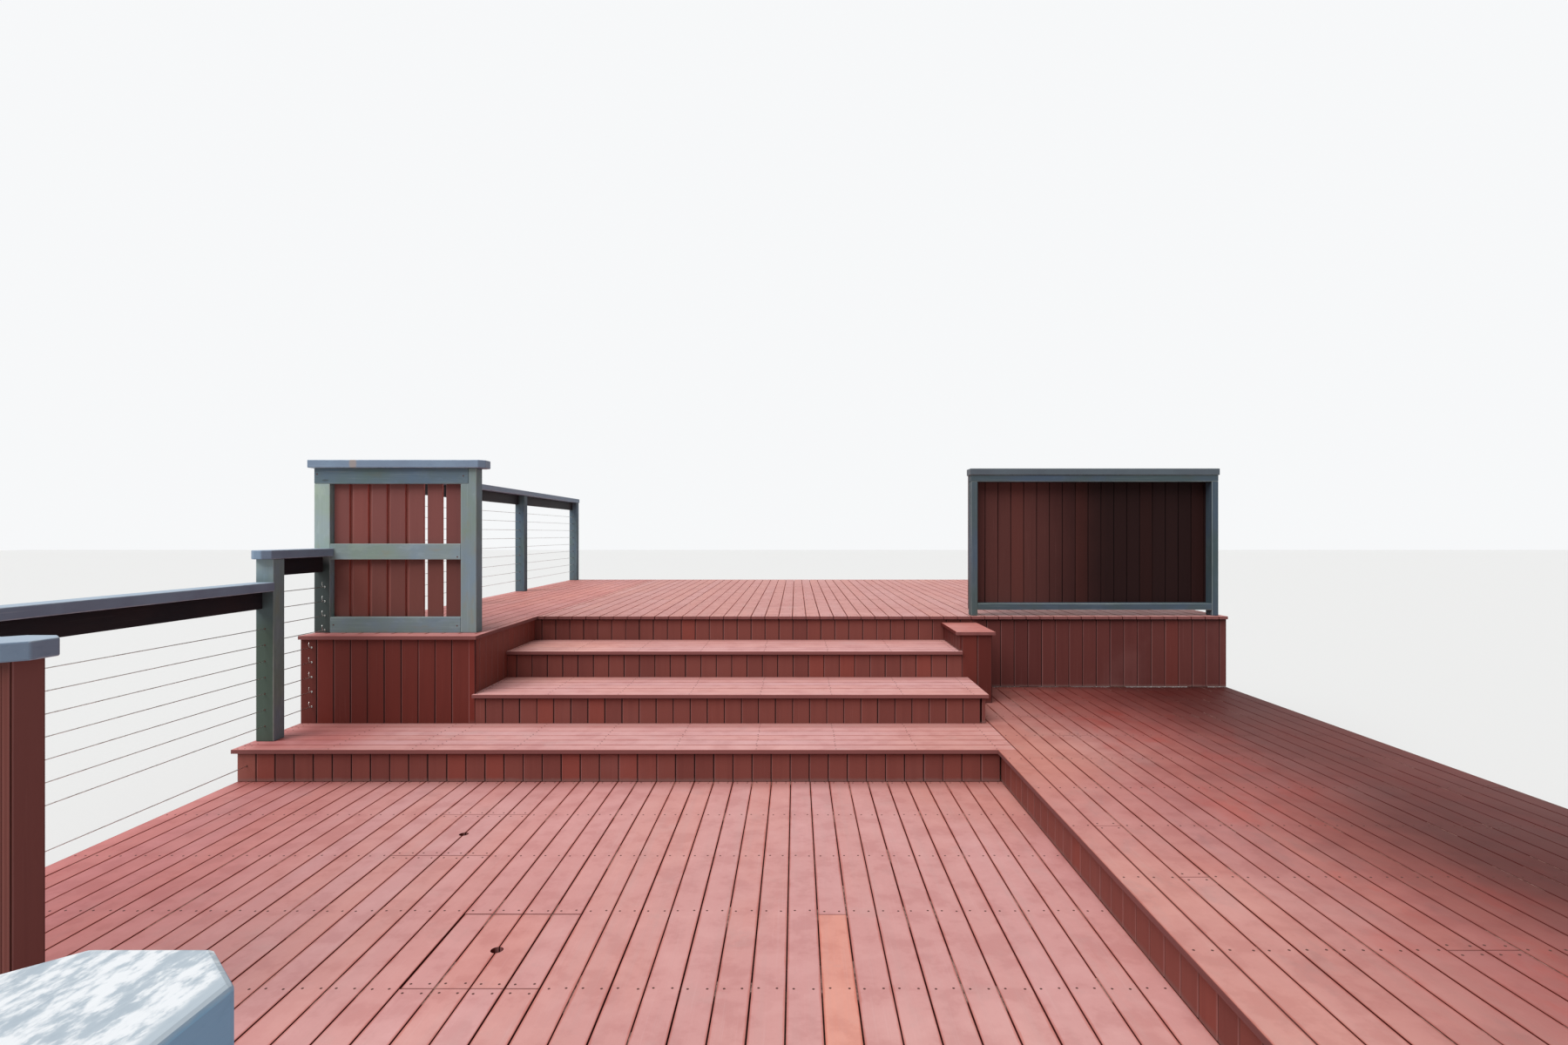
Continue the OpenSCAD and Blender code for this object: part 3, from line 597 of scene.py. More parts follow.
# Marks that belong to one board, given from the rail's or cap's own corners
marks = {"knotIn": 0.064, "knotUp": 0.020, "knotReach": (0.024, 0.02, 0.007),
         "bareIn": 0.260, "bareReach": (0.026, 0.05, 0.05), "halfPost": 0.045, "darkFront": 0.065,
         "railHigh": 0.09, "halfCap": 0.022}
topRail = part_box("screen_rails")
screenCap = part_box("screen_cap")
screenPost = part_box("screen_posts")[0]
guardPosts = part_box("guard_posts")
stairPostFront = (guardPosts[0].x + marks["halfPost"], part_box("short_cables")[0].y)
knotSpot = (topRail[0].x + marks["knotIn"], topRail[0].y, topRail[1].z - marks["railHigh"] + marks["knotUp"])
bareSpot = (screenCap[0].x + marks["bareIn"], screenCap[0].y, screenCap[1].z - marks["halfCap"])
# Darker patches on post fronts, painted shade below the caps and down the stair post, with some staining:
# middle, reach and paint
freshFronts = (
    ((screenPost.x + marks["halfPost"], screenPost.y, screenPost.z + marks["darkFront"]), (0.2, 0.3, 0.40),
     (0.025, 0.036, 0.034)),
    ((*stairPostFront, guardPosts[0].z + 0.45), (0.3, 0.2, 0.70), (0.070, 0.105, 0.110)),
    ((*stairPostFront, guardPosts[0].z + 0.30), (0.3, 0.2, 0.60), (0.052, 0.079, 0.060)),
)

finishes = {}


def addFinish(make, slot, name, **how):
    finishes[name] = (make(name, **how), slot)


for name, coat in deckCoats.items():
    addFinish(deckFinish, "deck_boards", name, **coat)
for name, coat in cladCoats.items():
    addFinish(cladFinish, "cladding", name, **coat)
addFinish(postFinish, "post_paint", "greyPaint", freshFronts=freshFronts)
addFinish(postFinish, "post_paint", "knottyPaint", knots=[(knotSpot, marks["knotReach"])])
addFinish(postFinish, "post_paint", "shadedGreyPaint", shade=(0.62, 0.60, 0.62))
addFinish(railFinish, "rail_paint", "railPaint")
addFinish(capFinish, "cap_paint", "slatePaint", bareSpots=[(bareSpot, marks["bareReach"])])
addFinish(capFinish, "cap_paint", "shadedSlatePaint", shade=(0.42, 0.39, 0.34))
addFinish(frameFinish, "frame_timber", "sawnTimber")
addFinish(steelFinish, "cable", "wireRope")
addFinish(nailFinish, None, "nailHeads")
addFinish(dirtFinish, None, "gapDirt")
print("finishes made:", len(finishes))


# Timber: one blank with eased edges is stretched to each board
blankSize = 0.2
# A board's random number stays below these. Higher numbers mark boards of their own paint, and negative ones
# dark tongues and fillers, painted shade in the joints
topNumber = {"board": 0.95, "clad": 0.93, "solid": 0.85}


def copyOf(source, name):
    piece = bpy.data.objects.new(name, source.data.copy())
    bpy.context.collection.objects.link(piece)
    return piece


def editAll():
    switchTo("EDIT")
    bpy.ops.mesh.select_all(action="SELECT")


# Leaves edit mode and keeps a model out of the scene, to be copied
def putAway(piece):
    switchTo("OBJECT")
    bpy.context.collection.objects.unlink(piece)
    return piece


def cubeBlank(name, shape, **how):
    clearSelection()
    bpy.ops.mesh.primitive_cube_add(size=blankSize)
    blank = bpy.context.active_object
    blank.name = name
    editAll()
    shape(**how)
    return putAway(blank)


def timberBlank(name, easing, segments=1):
    return cubeBlank(name, bpy.ops.mesh.bevel, offset=easing, segments=segments)


def note(mesh, name, kind, values):
    layer = mesh.attributes.new(name, "FLOAT_VECTOR" if kind == "vector" else "FLOAT", "POINT")
    layer.data.foreach_set(kind, values)


def numberPlank(piece, low, high, run, plank):
    mesh = piece.data
    size = high - low
    across, through = sorted([axis for axis in range(3) if axis != run], key=lambda axis: -size[axis])
    order = (run, across, through)
    middle = (low + high) / 2
    note(mesh, "grain", "vector", [vertex.co[axis] - middle[axis] for vertex in mesh.vertices
                                   for axis in order])
    note(mesh, "half", "vector", [size[axis] / 2 for axis in order] * len(mesh.vertices))
    note(mesh, "plank", "value", [plank] * len(mesh.vertices))


# A board whose sides may run off square by splay, and with finger holes drilled where asked
def board(blank, low, high, run, plank=None, splay=(0.0, 0.0), holes=()):
    low = Vector(low)
    high = Vector(high)
    piece = copyOf(blank, "board")
    reach = blankSize / 2
    for vertex in piece.data.vertices:
        corner = vertex.co.copy()
        spot = [high[axis] - reach + corner[axis] if corner[axis] > 0
                else low[axis] + reach + corner[axis] for axis in range(3)]
        if run < 2:
            far = (spot[run] - low[run]) / (high[run] - low[run])
            spot[1 - run] += splay[1 if corner[1 - run] > 0 else 0] * far
        vertex.co = spot
    for hole in holes:
        drill(piece, hole)
    numberPlank(piece, low, high, run, draw.random() * topNumber["board"] if plank is None else plank)
    return piece


fingerHole = {"radius": 0.0185, "sides": 28, "deep": 0.2}


def rod(sides, radius, depth, location, rotation=(0, 0, 0)):
    clearSelection()
    bpy.ops.mesh.primitive_cylinder_add(vertices=sides, radius=radius, depth=depth, location=location,
                                        rotation=rotation)
    return bpy.context.active_object


def drill(piece, centre):
    bit = rod(fingerHole["sides"], fingerHole["radius"], fingerHole["deep"], centre)
    cut = piece.modifiers.new("hole", "BOOLEAN")
    cut.operation = "DIFFERENCE"
    cut.object = bit
    selectOnly(piece)
    bpy.ops.object.modifier_apply(modifier=cut.name)
    bpy.data.meshes.remove(bit.data)


# A box with other ends along one axis
def trimmed(low, high, axis, start, end):
    low = Vector(low)
    high = Vector(high)
    low[axis] = start
    high[axis] = end
    return low, high


def joined(name, pieces):
    selectOnly(*pieces)
    bpy.ops.object.join()
    piece = bpy.context.active_object
    piece.name = name
    piece.data.name = name
    return piece


def dress(piece, finish, *nodes):
    material, slot = finishes[finish]
    piece.data.materials.clear()
    piece.data.materials.append(material)
    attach(piece, "root")
    if nodes:
        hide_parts(*nodes)
    return piece


# The solids of a node, as loose parts of a merged copy
def looseParts(node):
    part = copyOf(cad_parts[node], node + "Copy")
    selectOnly(part)
    editAll()
    bpy.ops.mesh.remove_doubles(threshold=0.00005)
    bpy.ops.mesh.dissolve_limited(angle_limit=math.radians(1))
    bpy.ops.mesh.separate(type="LOOSE")
    switchTo("OBJECT")
    return list(bpy.context.selected_objects)


def corners(piece):
    points = [vertex.co for vertex in piece.data.vertices]
    low = Vector([min(point[axis] for point in points) for axis in range(3)])
    high = Vector([max(point[axis] for point in points) for axis in range(3)])
    return low, high


def cornerOrder(box):
    return [round(value, 4) for value in (*box[0], *box[1])]


def solidBoxes(node):
    parts = looseParts(node)
    boxes = sorted([corners(part) for part in parts], key=cornerOrder)
    for part in parts:
        bpy.data.meshes.remove(part.data)
    return boxes


# A node's own solids with eased edges, each with the grain along its longest side
def easedSolids(node, name, finish, easing, segments=2, planks=None):
    parts = looseParts(node)
    parts.sort(key=lambda part: cornerOrder(corners(part)))
    selectOnly(*parts)
    editAll()
    bpy.ops.mesh.bevel(offset=easing, segments=segments)
    switchTo("OBJECT")
    for number, part in enumerate(parts):
        low, high = corners(part)
        run = max(range(3), key=lambda axis: (round(high[axis] - low[axis], 3), axis == 1))
        plank = planks[number] if planks else draw.random() * topNumber["solid"]
        numberPlank(part, low, high, run, plank)
    return dress(joined(name, parts), finish, node)


# Decking: rows of boards on one grid of gaps, with two nails in each board at each joist
decking = {
    "gap": (0.0027, 0.0045),
    "treadGap": (0.0018, 0.0030),
    "wander": 0.0007,
    "pitch": 0.094,
    "narrowest": 0.012,
    "gridRightOfCheek": 1.7651,
    "platformGridRightOfCheek": 2.870,
    "unevenTop": 0.0005,
    "buttGap": 0.0018,
    "buttFromEnd": 0.7,
    "buttsApart": 0.8,
    "nailIn": 0.02,
    "nailPastCut": 0.022,
    "nailFromEnd": 0.03,
    "nailToJoist": 0.045,
    "nailWander": 0.003,
    "easing": 0.0014,
    "farWall": 9.0,
    "rimLine": 0.0002,
}
gapDirt = {
    "chance": 0.42,
    "platformChance": 0.85,
    "stepChance": 0.2,
    "upperChance": 0.25,
    "length": (0.03, 0.26),
    "shortest": 0.012,
    "shift": 0.4,
    "fromEnd": 0.003,
    "pastLine": 0.02,
    "below": (0.0009, 0.0030),
    "lumps": 0.0004,
    "depth": 0.012,
    "wedge": 0.0008,
    "ends": 0.0022,
}
deckBlank = timberBlank("deckBlank", decking["easing"], 2)
soilBlank = cubeBlank("soilBlank", bpy.ops.mesh.subdivide, number_cuts=1)
nailPlaces = []
dirtStrips = []


def memberLines(node, axis):
    return [(low[axis] + high[axis]) / 2 for low, high in solidBoxes(node)]


def rowEdges(low, high, grid, pitch):
    first = math.floor((low - grid) / pitch) + 1
    lines = []
    while grid + first * pitch < high - decking["narrowest"]:
        if grid + first * pitch > low + decking["narrowest"]:
            lines.append(grid + first * pitch)
        first += 1
    return [low, *lines, high]


def nailBoard(left, right, run, top, start, end, lines):
    clear = decking["nailFromEnd"]
    pastCut = decking["nailPastCut"]
    wander = decking["nailWander"]
    rows = [line for line in lines if start + clear < line < end - clear]
    rows += [edge for edge in (start + pastCut, end - pastCut)
             if any(abs(line - edge) < decking["nailToJoist"] for line in lines)]
    for row in sorted(rows):
        inset = min(decking["nailIn"], (right(row) - left(row)) / 2)
        for across in (left(row) + inset, right(row) - inset):
            spot = [0.0, 0.0, top]
            spot[run] = row + draw.uniform(-wander, wander)
            spot[1 - run] = across + draw.uniform(-wander, wander)
            nailPlaces.append(Vector(spot))


# Dust and soil wedged between two boards, mostly where a joist stops it from falling through
def wedgeDirt(centre, width, run, start, end, top):
    piece = copyOf(soilBlank, "dirt")
    for vertex in piece.data.vertices:
        unit = [value / blankSize + 0.5 for value in vertex.co]
        here = start + (end - start) * unit[run]
        spot = [0.0, 0.0, 0.0]
        spot[run] = here
        spot[1 - run] = centre(here) + (unit[1 - run] - 0.5) * (width(here) + 2 * gapDirt["wedge"])
        atEnd = unit[run] in (0.0, 1.0)
        drop = gapDirt["ends"] if atEnd else draw.uniform(-gapDirt["lumps"], gapDirt["lumps"])
        spot[2] = top - drop if unit[2] > 0.75 else top - gapDirt["depth"] * (1.0 - unit[2])
        vertex.co = spot
    dirtStrips.append(piece)


def fillGap(centre, width, run, start, end, top, lines, chance):
    for line in (*lines, end):
        if start < line - gapDirt["pastLine"] < end and draw.random() < chance:
            length = draw.uniform(*gapDirt["length"])
            middle = line + draw.uniform(-gapDirt["shift"], gapDirt["shift"]) * length
            first = max(start + gapDirt["fromEnd"], middle - length / 2)
            last = min(end - gapDirt["fromEnd"], middle + length / 2)
            if last - first > gapDirt["shortest"]:
                wedgeDirt(centre, width, run, first, last, top - draw.uniform(*gapDirt["below"]))


def buttJoints(lines, low, high, most):
    inner = [line for line in lines if low + decking["buttFromEnd"] < line < high - decking["buttFromEnd"]]
    cuts = sorted(draw.sample(inner, min(most, len(inner))))
    return [(cut, decking["buttGap"]) for number, cut in enumerate(cuts)
            if number == 0 or cut - cuts[number - 1] > decking["buttsApart"]]


# Each gap has a place and a width at both its ends, and changes evenly between them
def layBoards(low, high, run, grid, lines, joints=0, special=None, dirt=0.0, gap="gap"):
    side = 1 - run
    edges = rowEdges(low[side], high[side], grid, decking["pitch"])
    gaps = [[(edge + draw.uniform(-1, 1) * decking["wander"], draw.uniform(*decking[gap]))
             for end in range(2)] for edge in edges]

    def between(number, item):
        start, end = [pair[item] for pair in gaps[number]]
        return lambda place: start + (end - start) * ((place - low[run]) / (high[run] - low[run]))

    def sideLine(number, turn):
        if number in (0, len(edges) - 1):
            return lambda place: edges[number]
        centre = between(number, 0)
        width = between(number, 1)
        return lambda place: centre(place) + turn * width(place) / 2

    pieces = []
    for number in range(len(edges) - 1):
        left = sideLine(number, 1)
        right = sideLine(number + 1, -1)
        cuts, planks, holes, slack = special(edges[number]) if special else ([], {}, [], {})
        if joints:
            cuts = buttJoints(lines, low[run], high[run], joints)
        starts = [low[run], *[cut + wide / 2 for cut, wide in cuts]]
        ends = [*[cut - wide / 2 for cut, wide in cuts], high[run]]
        for i, (start, end) in enumerate(zip(starts, ends)):
            first, last = trimmed(low, high, run, start, end)
            first, last = trimmed(first, last, side, left(start) + slack.get(i, 0.0), right(start))
            last.z = high.z - draw.random() * decking["unevenTop"]
            splay = (left(end) - left(start), right(end) - right(start))
            drilled = [hole for hole in holes if start < hole[run] < end]
            pieces.append(board(deckBlank, first, last, run, planks.get(i), splay, drilled))
            nailBoard(left, right, run, last.z, start, end, lines)
        if number and dirt:
            fillGap(between(number, 0), between(number, 1), run, low[run], high[run], high.z, lines, dirt)
    return pieces


deckGrid = flightLeft + decking["gridRightOfCheek"]
platformGrid = flightLeft + decking["platformGridRightOfCheek"]
lowerJoists = memberLines("lower_joists", 1)
platformJoists = memberLines("platform_joists", 1)
upperJoists = memberLines("upper_joists", 1)
stringerLines = memberLines("stringers", 0)

# Two lift-out hatches with finger holes, and a newer board
hatches = (
    {"lines": (-16, -12), "from": -0.917, "to": -0.4675, "hole": (-14, -0.6985), "wide": (0.0022, 0.0022),
     "slack": 0.0},
    {"lines": (-11, -7), "from": -1.820, "to": -1.3925, "hole": (-9, -1.6175), "wide": (0.0022, 0.0042),
     "slack": 0.0030},
)
newBoard = {"column": 1, "from": -1.395, "plank": 0.99}


# For the board right of a line: its cuts, special numbers, finger holes, and the slack of a hatch's own edge
def lowerSpecial(left):
    column = round((left - deckGrid) / decking["pitch"])
    for hatch in hatches:
        if hatch["lines"][0] <= column < hatch["lines"][1]:
            cuts = [(flightFace + hatch["from"], hatch["wide"][0]),
                    (flightFace + hatch["to"], hatch["wide"][1])]
            line, away = hatch["hole"]
            hole = Vector((deckGrid + line * decking["pitch"], flightFace + away, floorTop))
            slack = {1: hatch["slack"]} if column == hatch["lines"][0] else {}
            return cuts, {}, [hole] if column in (line - 1, line) else [], slack
    if column == newBoard["column"]:
        return [(flightFace + newBoard["from"], decking["buttGap"])], {0: newBoard["plank"]}, [], {}
    return [], {}, [], {}


# A border is one board across the front, and the others butt against it
def layNode(node, name, finish, run, grid, lines, wall=None, border=0.0, **how):
    pieces = []
    for low, high in solidBoxes(node):
        if border:
            pieces.append(board(deckBlank, low, (high.x, low.y + border, high.z), 0))
            low.y += border + decking["buttGap"]
        pieces += layBoards(low, high, run, grid, lines, **how)
    return markWall(dress(joined(name, pieces), finish, node), wall)


# Notes where the wall behind a deck stands, and which points lie on the deck's own left and right rims
def markWall(piece, wall=None):
    mesh = piece.data
    low, high = corners(piece)
    note(mesh, "wall", "value", [decking["farWall"] if wall is None else wall] * len(mesh.vertices))
    rims = [min(vertex.co.x - low.x, high.x - vertex.co.x) < decking["rimLine"] for vertex in mesh.vertices]
    note(mesh, "rim", "value", [float(rim) for rim in rims])
    return piece


layNode("lower_deck", "lowerBoards", "deckPaint", 1, deckGrid, lowerJoists, flightFace,
        special=lowerSpecial, dirt=gapDirt["chance"])
layNode("platform_deck", "platformBoards", "platformPaint", 1, platformGrid, platformJoists,
        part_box("back_wall")[0].y, joints=1, dirt=gapDirt["platformChance"])
layNode("block_deck", "blockBoards", "blockPaint", 1, deckGrid, upperJoists, joints=2,
        border=decking["pitch"])
layNode("upper_deck", "upperBoards", "upperPaint", 1, deckGrid, upperJoists, joints=1,
        dirt=gapDirt["upperChance"])
for number in (1, 2, 3):
    layNode("tread_%d" % number, "treadBoards%d" % number, "treadPaint", 0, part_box("tread_%d" % number)[0].y,
            stringerLines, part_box("riser_%d" % (number + 1))[0].y, dirt=gapDirt["stepChance"], gap="treadGap")
markWall(easedSolids("plinth_top", "plinthTop", "plinthTopPaint", decking["easing"]),
         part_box("plinth_top")[1].y)
markWall(easedSolids("platform_border", "borderBoards", "borderPaint", decking["easing"]))


def nailBorder():
    low, high = solidBoxes("platform_border")[0]
    nailBoard(lambda row: low.x, lambda row: high.x, 1, high.z, low.y, high.y, platformJoists)


nailBorder()
dress(joined("dirtInGaps", dirtStrips), "gapDirt")
print("decking laid, nails wanted:", len(nailPlaces))


# Cladding: upright boards, close together, each wall with its own first board
cladding = {"gap": 0.0026, "pitch": 0.0939, "easing": 0.002, "unevenFace": 0.0006,
            "trimWide": 0.038, "trimProud": 0.012, "trimThick": 0.020, "trimForward": 0.001,
            "tongueEasing": 0.0005, "tongueIn": 0.001, "tongueBack": 0.006, "tonguePlank": -1.0}
walls = (
    ("riser_1", "riserBoards1", "riserPaint",
     {"first": 0.0926, "pitch": 0.09335, "corner": 0.985, "short": 0.006}),
    ("riser_2", "riserBoards2", "riserPaint", {"first": 0.0698, "pitch": 0.09462, "short": 0.0083}),
    ("riser_3", "riserBoards3", "riserPaint", {"first": 0.0589, "pitch": 0.09529}),
    ("riser_4", "riserBoards4", "riserPaint", {"first": 0.0487, "pitch": 0.09568}),
    ("block_front", "blockFrontBoards", "wallPaint", {"first": 0.0904, "pitch": 0.09367, "corner": 0.0}),
    ("block_side", "blockSideBoards", "wallPaint", {}),
    ("cheek_wall", "cheekBoards", "cheekPaint", {"gap": 0.0009}),
    ("platform_fascia", "platformEdgeBoards", "edgePaint", {}),
    ("back_wall", "backWallBoards", "backWallPaint", {}),
    ("plinth_sides", "plinthBoards", "plinthPaint", {"first": 0.0953, "corner": 0.985}),
    ("boarded_panel", "guardBoards", "shadedPaint", {"first": 0.0282, "pitch": 0.0900}),
)
cladBlank = timberBlank("cladBlank", cladding["easing"])
tongueBlank = timberBlank("tongueBlank", cladding["tongueEasing"])


# Boards side by side, with a tongue behind each joint that keeps the daylight out
def cladBox(low, high, first, pitch, gap, corner, short):
    thin = 0 if high.x - low.x < high.y - low.y else 1
    side = 1 - thin
    edges = rowEdges(low[side], high[side], low[side] + first, pitch)
    pieces = []
    for number in range(len(edges) - 1):
        last = number == len(edges) - 2
        start, end = trimmed(low, high, side, edges[number] + (gap / 2 if number else 0),
                             edges[number + 1] - (short if last else gap / 2))
        start[thin] += draw.random() * cladding["unevenFace"]
        end[thin] -= draw.random() * cladding["unevenFace"]
        plank = draw.random() * topNumber["clad"] if corner is None or number else corner
        pieces.append(board(cladBlank, start, end, 2, plank))
        if number:
            # Each tongue is painted dark, as shade in the joint
            pieces.append(tongue(low, high, thin, edges[number], gap / 2 + cladding["tongueIn"]))
    return pieces


def tongue(low, high, thin, joint, reach):
    low, high = trimmed(low, high, 1 - thin, joint - reach, joint + reach)
    low, high = trimmed(low, high, thin, low[thin] + cladding["tongueBack"],
                        high[thin] - cladding["tongueBack"])
    low, high = trimmed(low, high, 2, low.z + cladding["tongueIn"], high.z - cladding["tongueIn"])
    return board(tongueBlank, low, high, 2, cladding["tonguePlank"])


# Only walls that face front have a first board, a corner strip and a short end of their own
def cladNode(node, name, finish, first=cladding["pitch"], pitch=cladding["pitch"], gap=cladding["gap"],
             corner=None, short=0.0):
    pieces = []
    for low, high in solidBoxes(node):
        if high.x - low.x > high.y - low.y:
            pieces += cladBox(low, high, first, pitch, gap, corner, short)
        else:
            pieces += cladBox(low, high, cladding["pitch"], pitch, gap, None, 0.0)
    return dress(joined(name, pieces), finish, node)


for node, name, finish, how in walls:
    cladNode(node, name, finish, **how)


# Trim over the corner of the block, where its front meets the wall beside the flight
def cornerTrim():
    low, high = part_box("block_front")
    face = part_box("cheek_wall")[1].x
    start = (face + cladding["trimProud"] - cladding["trimWide"], low.y - cladding["trimForward"],
             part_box("tread_1")[1].z)
    end = (face + cladding["trimProud"], low.y + cladding["trimThick"], high.z)
    dress(board(cladBlank, start, end, 2, 0.9), "wallPaint").name = "cornerTrim"


cornerTrim()
print("cladding done")


# Boxed posts: two side boards, a front and a back board between them, and slips at the corners
boxed = {"thick": 0.019, "sideIn": 0.0052, "faceIn": 0.0205, "slipIn": 0.0023, "slipDeep": 0.0026,
         "crackIn": 0.0042, "easing": 0.0013}
boxedBlank = timberBlank("boxedBlank", boxed["easing"], 2)


def boxedPost(low, high):
    pieces = []
    for turn in (-1, 1):
        outer = low.x if turn < 0 else high.x
        inner = outer - turn * boxed["thick"]
        pieces.append(upright(boxedBlank, outer, inner, low.y + boxed["sideIn"], high.y - boxed["sideIn"],
                              low, high, 0.6))
        slip = outer - turn * boxed["slipIn"]
        crack = outer - turn * boxed["crackIn"]
        for face, inward in ((low.y, 1), (high.y, -1)):
            behind = face + inward * boxed["slipDeep"]
            edge = face + inward * boxed["sideIn"]
            pieces.append(upright(tongueBlank, slip, inner, *sorted((face, behind)), low, high, 0.4))
            # A dark filler behind each slip: painted shade in the crack
            pieces.append(upright(tongueBlank, crack, inner, *sorted((behind, edge)), low, high,
                                  cladding["tonguePlank"]))
    for face in ((low.y, low.y + boxed["thick"]), (high.y - boxed["thick"], high.y)):
        pieces.append(upright(boxedBlank, low.x + boxed["faceIn"], high.x - boxed["faceIn"], *face,
                              low, high, 0.3))
    return pieces


def upright(blank, xOne, xTwo, yOne, yTwo, low, high, plank):
    start = (min(xOne, xTwo), yOne, low.z)
    end = (max(xOne, xTwo), yTwo, high.z)
    return board(blank, start, end, 2, plank)


dress(joined("boxedPosts", [piece for box in solidBoxes("boxed_posts") for piece in boxedPost(*box)]),
      "boxedPaint", "boxed_posts")


# Posts, rails, caps, slats and the frame below keep their own solids. Some have their boards' numbers here
easing = {"post": 0.004, "rail": 0.003, "cap": 0.004, "slat": 0.002, "edgeBoard": 0.002, "frame": 0.003}
ownSolids = (
    ("guard_posts", "guardPosts", "greyPaint", "post", (0.0, 0.05, 0.1, 0.55, 0.80)),
    ("guard_rails", "guardRails", "railPaint", "rail", None),
    ("screen_posts", "screenPosts", "greyPaint", "post", (0.97, 0.50)),
    ("screen_rails", "screenRails", "knottyPaint", "rail", (0.09, 0.34, 0.58)),
    ("boarded_posts", "boardedPosts", "shadedGreyPaint", "post", (0.10, 0.04)),
    ("boarded_rails", "boardedRails", "shadedGreyPaint", "rail", (0.04, 0.06)),
    ("guard_caps", "guardCaps", "slatePaint", "cap", (0.2, 0.6, 0.4, 0.7, 0.3, 0.98)),
    ("screen_cap", "screenCap", "slatePaint", "cap", (0.5,)),
    ("boarded_cap", "boardedCap", "shadedSlatePaint", "cap", (0.5,)),
    ("front_slats", "frontSlats", "slatPaint", "slat", None),
    ("rear_slats_row", "rearSlats", "rearSlatPaint", "slat", None),
    ("lower_fascias", "lowerEdgeBoards", "wallPaint", "edgeBoard", None),
    ("upper_fascias", "upperEdgeBoards", "wallPaint", "edgeBoard", None),
)
for node, name, finish, kind, planks in ownSolids:
    easedSolids(node, name, finish, easing[kind], planks=planks)
for node, name in (("stumps", "stumpTimbers"), ("bearers", "bearerTimbers"), ("flight_beams", "flightBeams"),
                   ("lower_joists", "lowerJoistTimbers"), ("platform_joists", "platformJoistTimbers"),
                   ("upper_joists", "upperJoistTimbers"), ("stringers", "stringerTimbers")):
    easedSolids(node, name, "sawnTimber", easing["frame"], 1)
print("posts, rails, caps and frame done")


# Cables stay as they are, in wire rope
cableNodes = ("left_cables", "front_cables", "short_cables", "upper_cables")
for node in cableNodes:
    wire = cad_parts[node]
    wire.data.materials.clear()
    wire.data.materials.append(finishes["wireRope"][0])


# Each cable ends in a pressed sleeve on a round plate; some have their tail turned up
fitting = {
    "plateRadius": 0.0052,
    "plateThick": 0.0016,
    "sleeveRadius": 0.0028,
    "sleeveLength": 0.026,
    "taper": 0.62,
    "sides": 10,
    "tailRadius": 0.0011,
    "tailSides": 6,
    "tailDeep": 0.004,
    "tailFromEnd": 0.006,
    "tailUp": 0.003,
    "tail": ((0.005, 0.005), (0.003, 0.007), (-0.0005, 0.008), (-0.003, 0.006)),
}


# Puts a rod's place into its mesh, and selects the end that faces along an axis
def selectEnd(piece, axis):
    bpy.ops.object.transform_apply(location=True, rotation=True, scale=True)
    switchTo("EDIT")
    bpy.ops.mesh.select_all(action="DESELECT")
    switchTo("OBJECT")
    for face in piece.data.polygons:
        face.select = face.normal[axis] > 0.9
    switchTo("EDIT")


def extrude(along, up=0.0):
    bpy.ops.mesh.extrude_region_move(TRANSFORM_OT_translate={"value": (along, 0, up)})


def cableEnd(hooked):
    piece = rod(fitting["sides"], fitting["plateRadius"], fitting["plateThick"],
                (fitting["plateThick"] / 2, 0, 0), (0, math.radians(90), 0))
    selectEnd(piece, 0)
    bpy.ops.mesh.inset(thickness=fitting["plateRadius"] - fitting["sleeveRadius"])
    extrude(fitting["sleeveLength"])
    extrude(fitting["sleeveRadius"])
    bpy.ops.transform.resize(value=(1, fitting["taper"], fitting["taper"]))
    switchTo("OBJECT")
    return putAway(joined("hookedEnd", [piece, cableTail()]) if hooked else piece)


def cableTail():
    tail = rod(fitting["tailSides"], fitting["tailRadius"], fitting["tailDeep"],
               (fitting["sleeveLength"] - fitting["tailFromEnd"], 0, fitting["tailUp"]))
    selectEnd(tail, 2)
    for along, up in fitting["tail"]:
        extrude(along, up)
    switchTo("OBJECT")
    return tail


def copies(head, places):
    pieces = []
    for place in places:
        piece = copyOf(head, "copy")
        piece.data.transform(place if isinstance(place, Matrix) else Matrix.Translation(place))
        pieces.append(piece)
    return pieces


def endMatrix(spot, axis, inward):
    turn = Matrix.Rotation(math.radians(90) if axis == 1 else 0.0, 4, "Z")
    if inward < 0:
        turn = Matrix.Rotation(math.radians(180), 4, "Z") @ turn
    return Matrix.Translation(spot) @ turn


# Where a cable only passes into a post, a dark bush lines the hole
def placeCableEnds():
    plain = []
    hooked = []
    bushed = []
    for node in cableNodes:
        for low, high in solidBoxes(node):
            axis = max(range(3), key=lambda one: high[one] - low[one])
            middle = (low + high) / 2
            for end, inward in ((low, 1), (high, -1)):
                spot = middle.copy()
                spot[axis] = end[axis]
                if node == "upper_cables" or (node == "left_cables" and inward < 0):
                    bushed.append(endMatrix(spot, axis, inward) @ outward)
                elif node == "short_cables" and inward < 0:
                    hooked.append(endMatrix(spot, axis, inward))
                else:
                    plain.append(endMatrix(spot, axis, inward))
    dress(joined("cableEnds", copies(cableEnd(False), plain) + copies(cableEnd(True), hooked)), "wireRope")
    dress(joined("cableBushes", copies(head, bushed)), "nailHeads")
    return len(plain) + len(hooked) + len(bushed)


# Nail heads: a low dished disc, copied to each place
nails = {"radius": 0.0036, "deep": 0.002, "height": 0.0006, "rim": 0.3, "dish": 0.0004, "sides": 8,
         "bush": 1.3, "batch": 1500}


def nailHead():
    head = rod(nails["sides"], nails["radius"], nails["deep"], (0, 0, nails["height"] - nails["deep"] / 2))
    selectEnd(head, 2)
    bpy.ops.mesh.inset(thickness=nails["radius"] * nails["rim"], depth=-nails["dish"])
    return putAway(head)


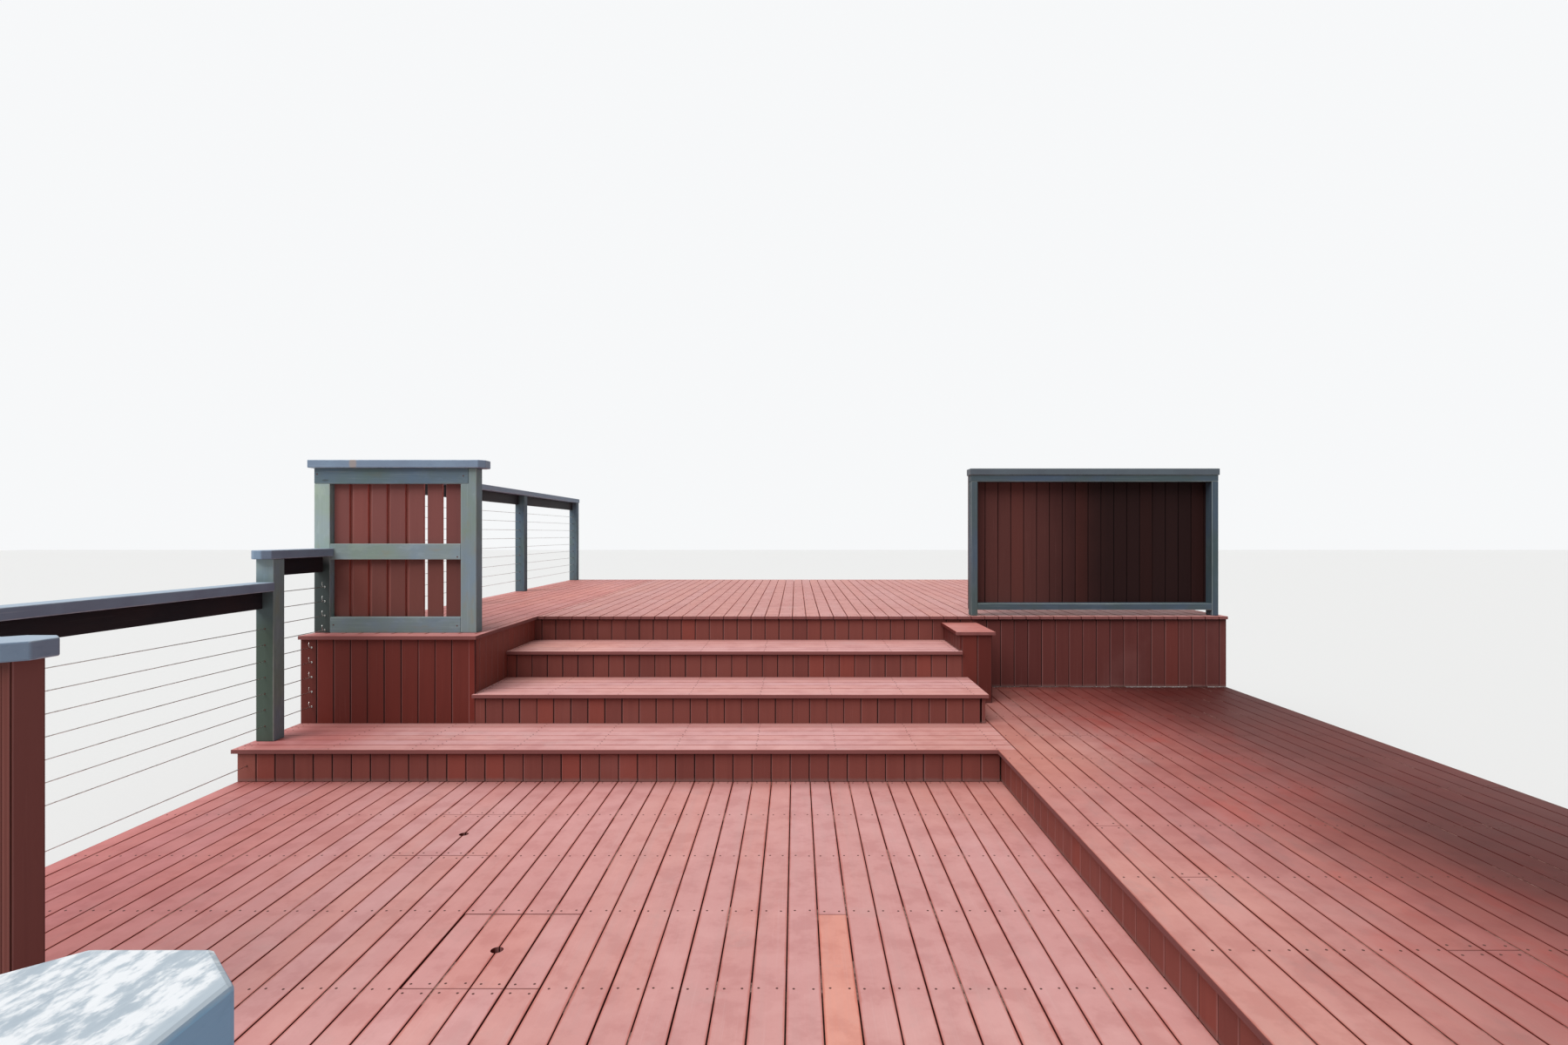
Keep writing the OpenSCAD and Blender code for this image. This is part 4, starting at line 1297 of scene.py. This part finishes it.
head = nailHead()
outward = Matrix.Rotation(math.radians(90), 4, "Y") @ Matrix.Scale(nails["bush"], 4)
print("cable ends:", placeCableEnds())
for start in range(0, len(nailPlaces), nails["batch"]):
    batch = copies(head, nailPlaces[start:start + nails["batch"]])
    dress(joined("nailHeads%d" % (start // nails["batch"] + 1), batch), "nailHeads")
print("nails driven:", len(nailPlaces))


# Screws in the screen's rails, given from each rail's left or right end and its lower edge
screws = {
    "top": ((0.017, 0.055), (-0.029, 0.045)),
    "middle": ((0.018, 0.030), (-0.018, 0.015)),
    "bottom": ((0.020, 0.045), (-0.020, 0.040)),
    "scale": 1.25,
}


def driveScrews():
    top, bottom, middle = solidBoxes("screen_rails")
    frontward = Matrix.Rotation(math.radians(90), 4, "X") @ Matrix.Scale(screws["scale"], 4)
    places = []
    for (low, high), spots in ((top, screws["top"]), (middle, screws["middle"]), (bottom, screws["bottom"])):
        for along, up in spots:
            x = low.x + along if along > 0 else high.x + along
            places.append(Matrix.Translation((x, low.y, low.z + up)) @ frontward)
    dress(joined("screws", copies(head, places)), "nailHeads")


driveScrews()


# Floor and light
stage = {"floor": (0.80, 0.80, 0.79), "floorSize": 160, "backdrop": (0.93, 0.94, 0.95),
         "skyColour": (0.97, 0.98, 1.0), "sky": 0.33, "key": 3.0, "keyAngle": 50,
         "keyWay": (0.42, 0.60, -0.90)}


def setStage():
    clearSelection()
    bpy.ops.mesh.primitive_plane_add(size=stage["floorSize"])
    floor = bpy.context.active_object
    floor.name = "floor"
    paint = Finish("floorPaint", Base_Color=(*stage["floor"], 1.0), Roughness=0.9, Specular_IOR_Level=0.1)
    floor.data.materials.append(paint.material)
    bpy.ops.object.light_add(type="SUN", location=(0, 0, 8))
    key = bpy.context.active_object
    key.rotation_euler = Vector(stage["keyWay"]).to_track_quat("-Z", "Y").to_euler()
    key.data.energy = stage["key"]
    key.data.angle = math.radians(stage["keyAngle"])
    bpy.context.scene.view_settings.view_transform = "Standard"


# The camera and the metal see a pale backdrop, and the object is lit by a plain sky
def setSky():
    world = bpy.data.worlds.new("studio")
    bpy.context.scene.world = world
    world.use_nodes = True
    sky = Nodes(world.node_tree)
    light = sky.tree.nodes["Background"]
    light.inputs["Color"].default_value = (*stage["skyColour"], 1.0)
    light.inputs["Strength"].default_value = stage["sky"]
    seen = sky.node("ShaderNodeBackground", inputs={"Color": (*stage["backdrop"], 1.0)})
    cameraRay = sky.node("ShaderNodeLightPath", output="Is Camera Ray")
    glossyRay = sky.node("ShaderNodeLightPath", output="Is Glossy Ray")
    blend = sky.node("ShaderNodeMixShader", inputs={0: cameraRay.highest(glossyRay),
                                                    1: Wire(sky, light.outputs[0]), 2: seen})
    sky.tree.links.new(blend.socket, sky.tree.nodes["World Output"].inputs["Surface"])


setSky()
setStage()
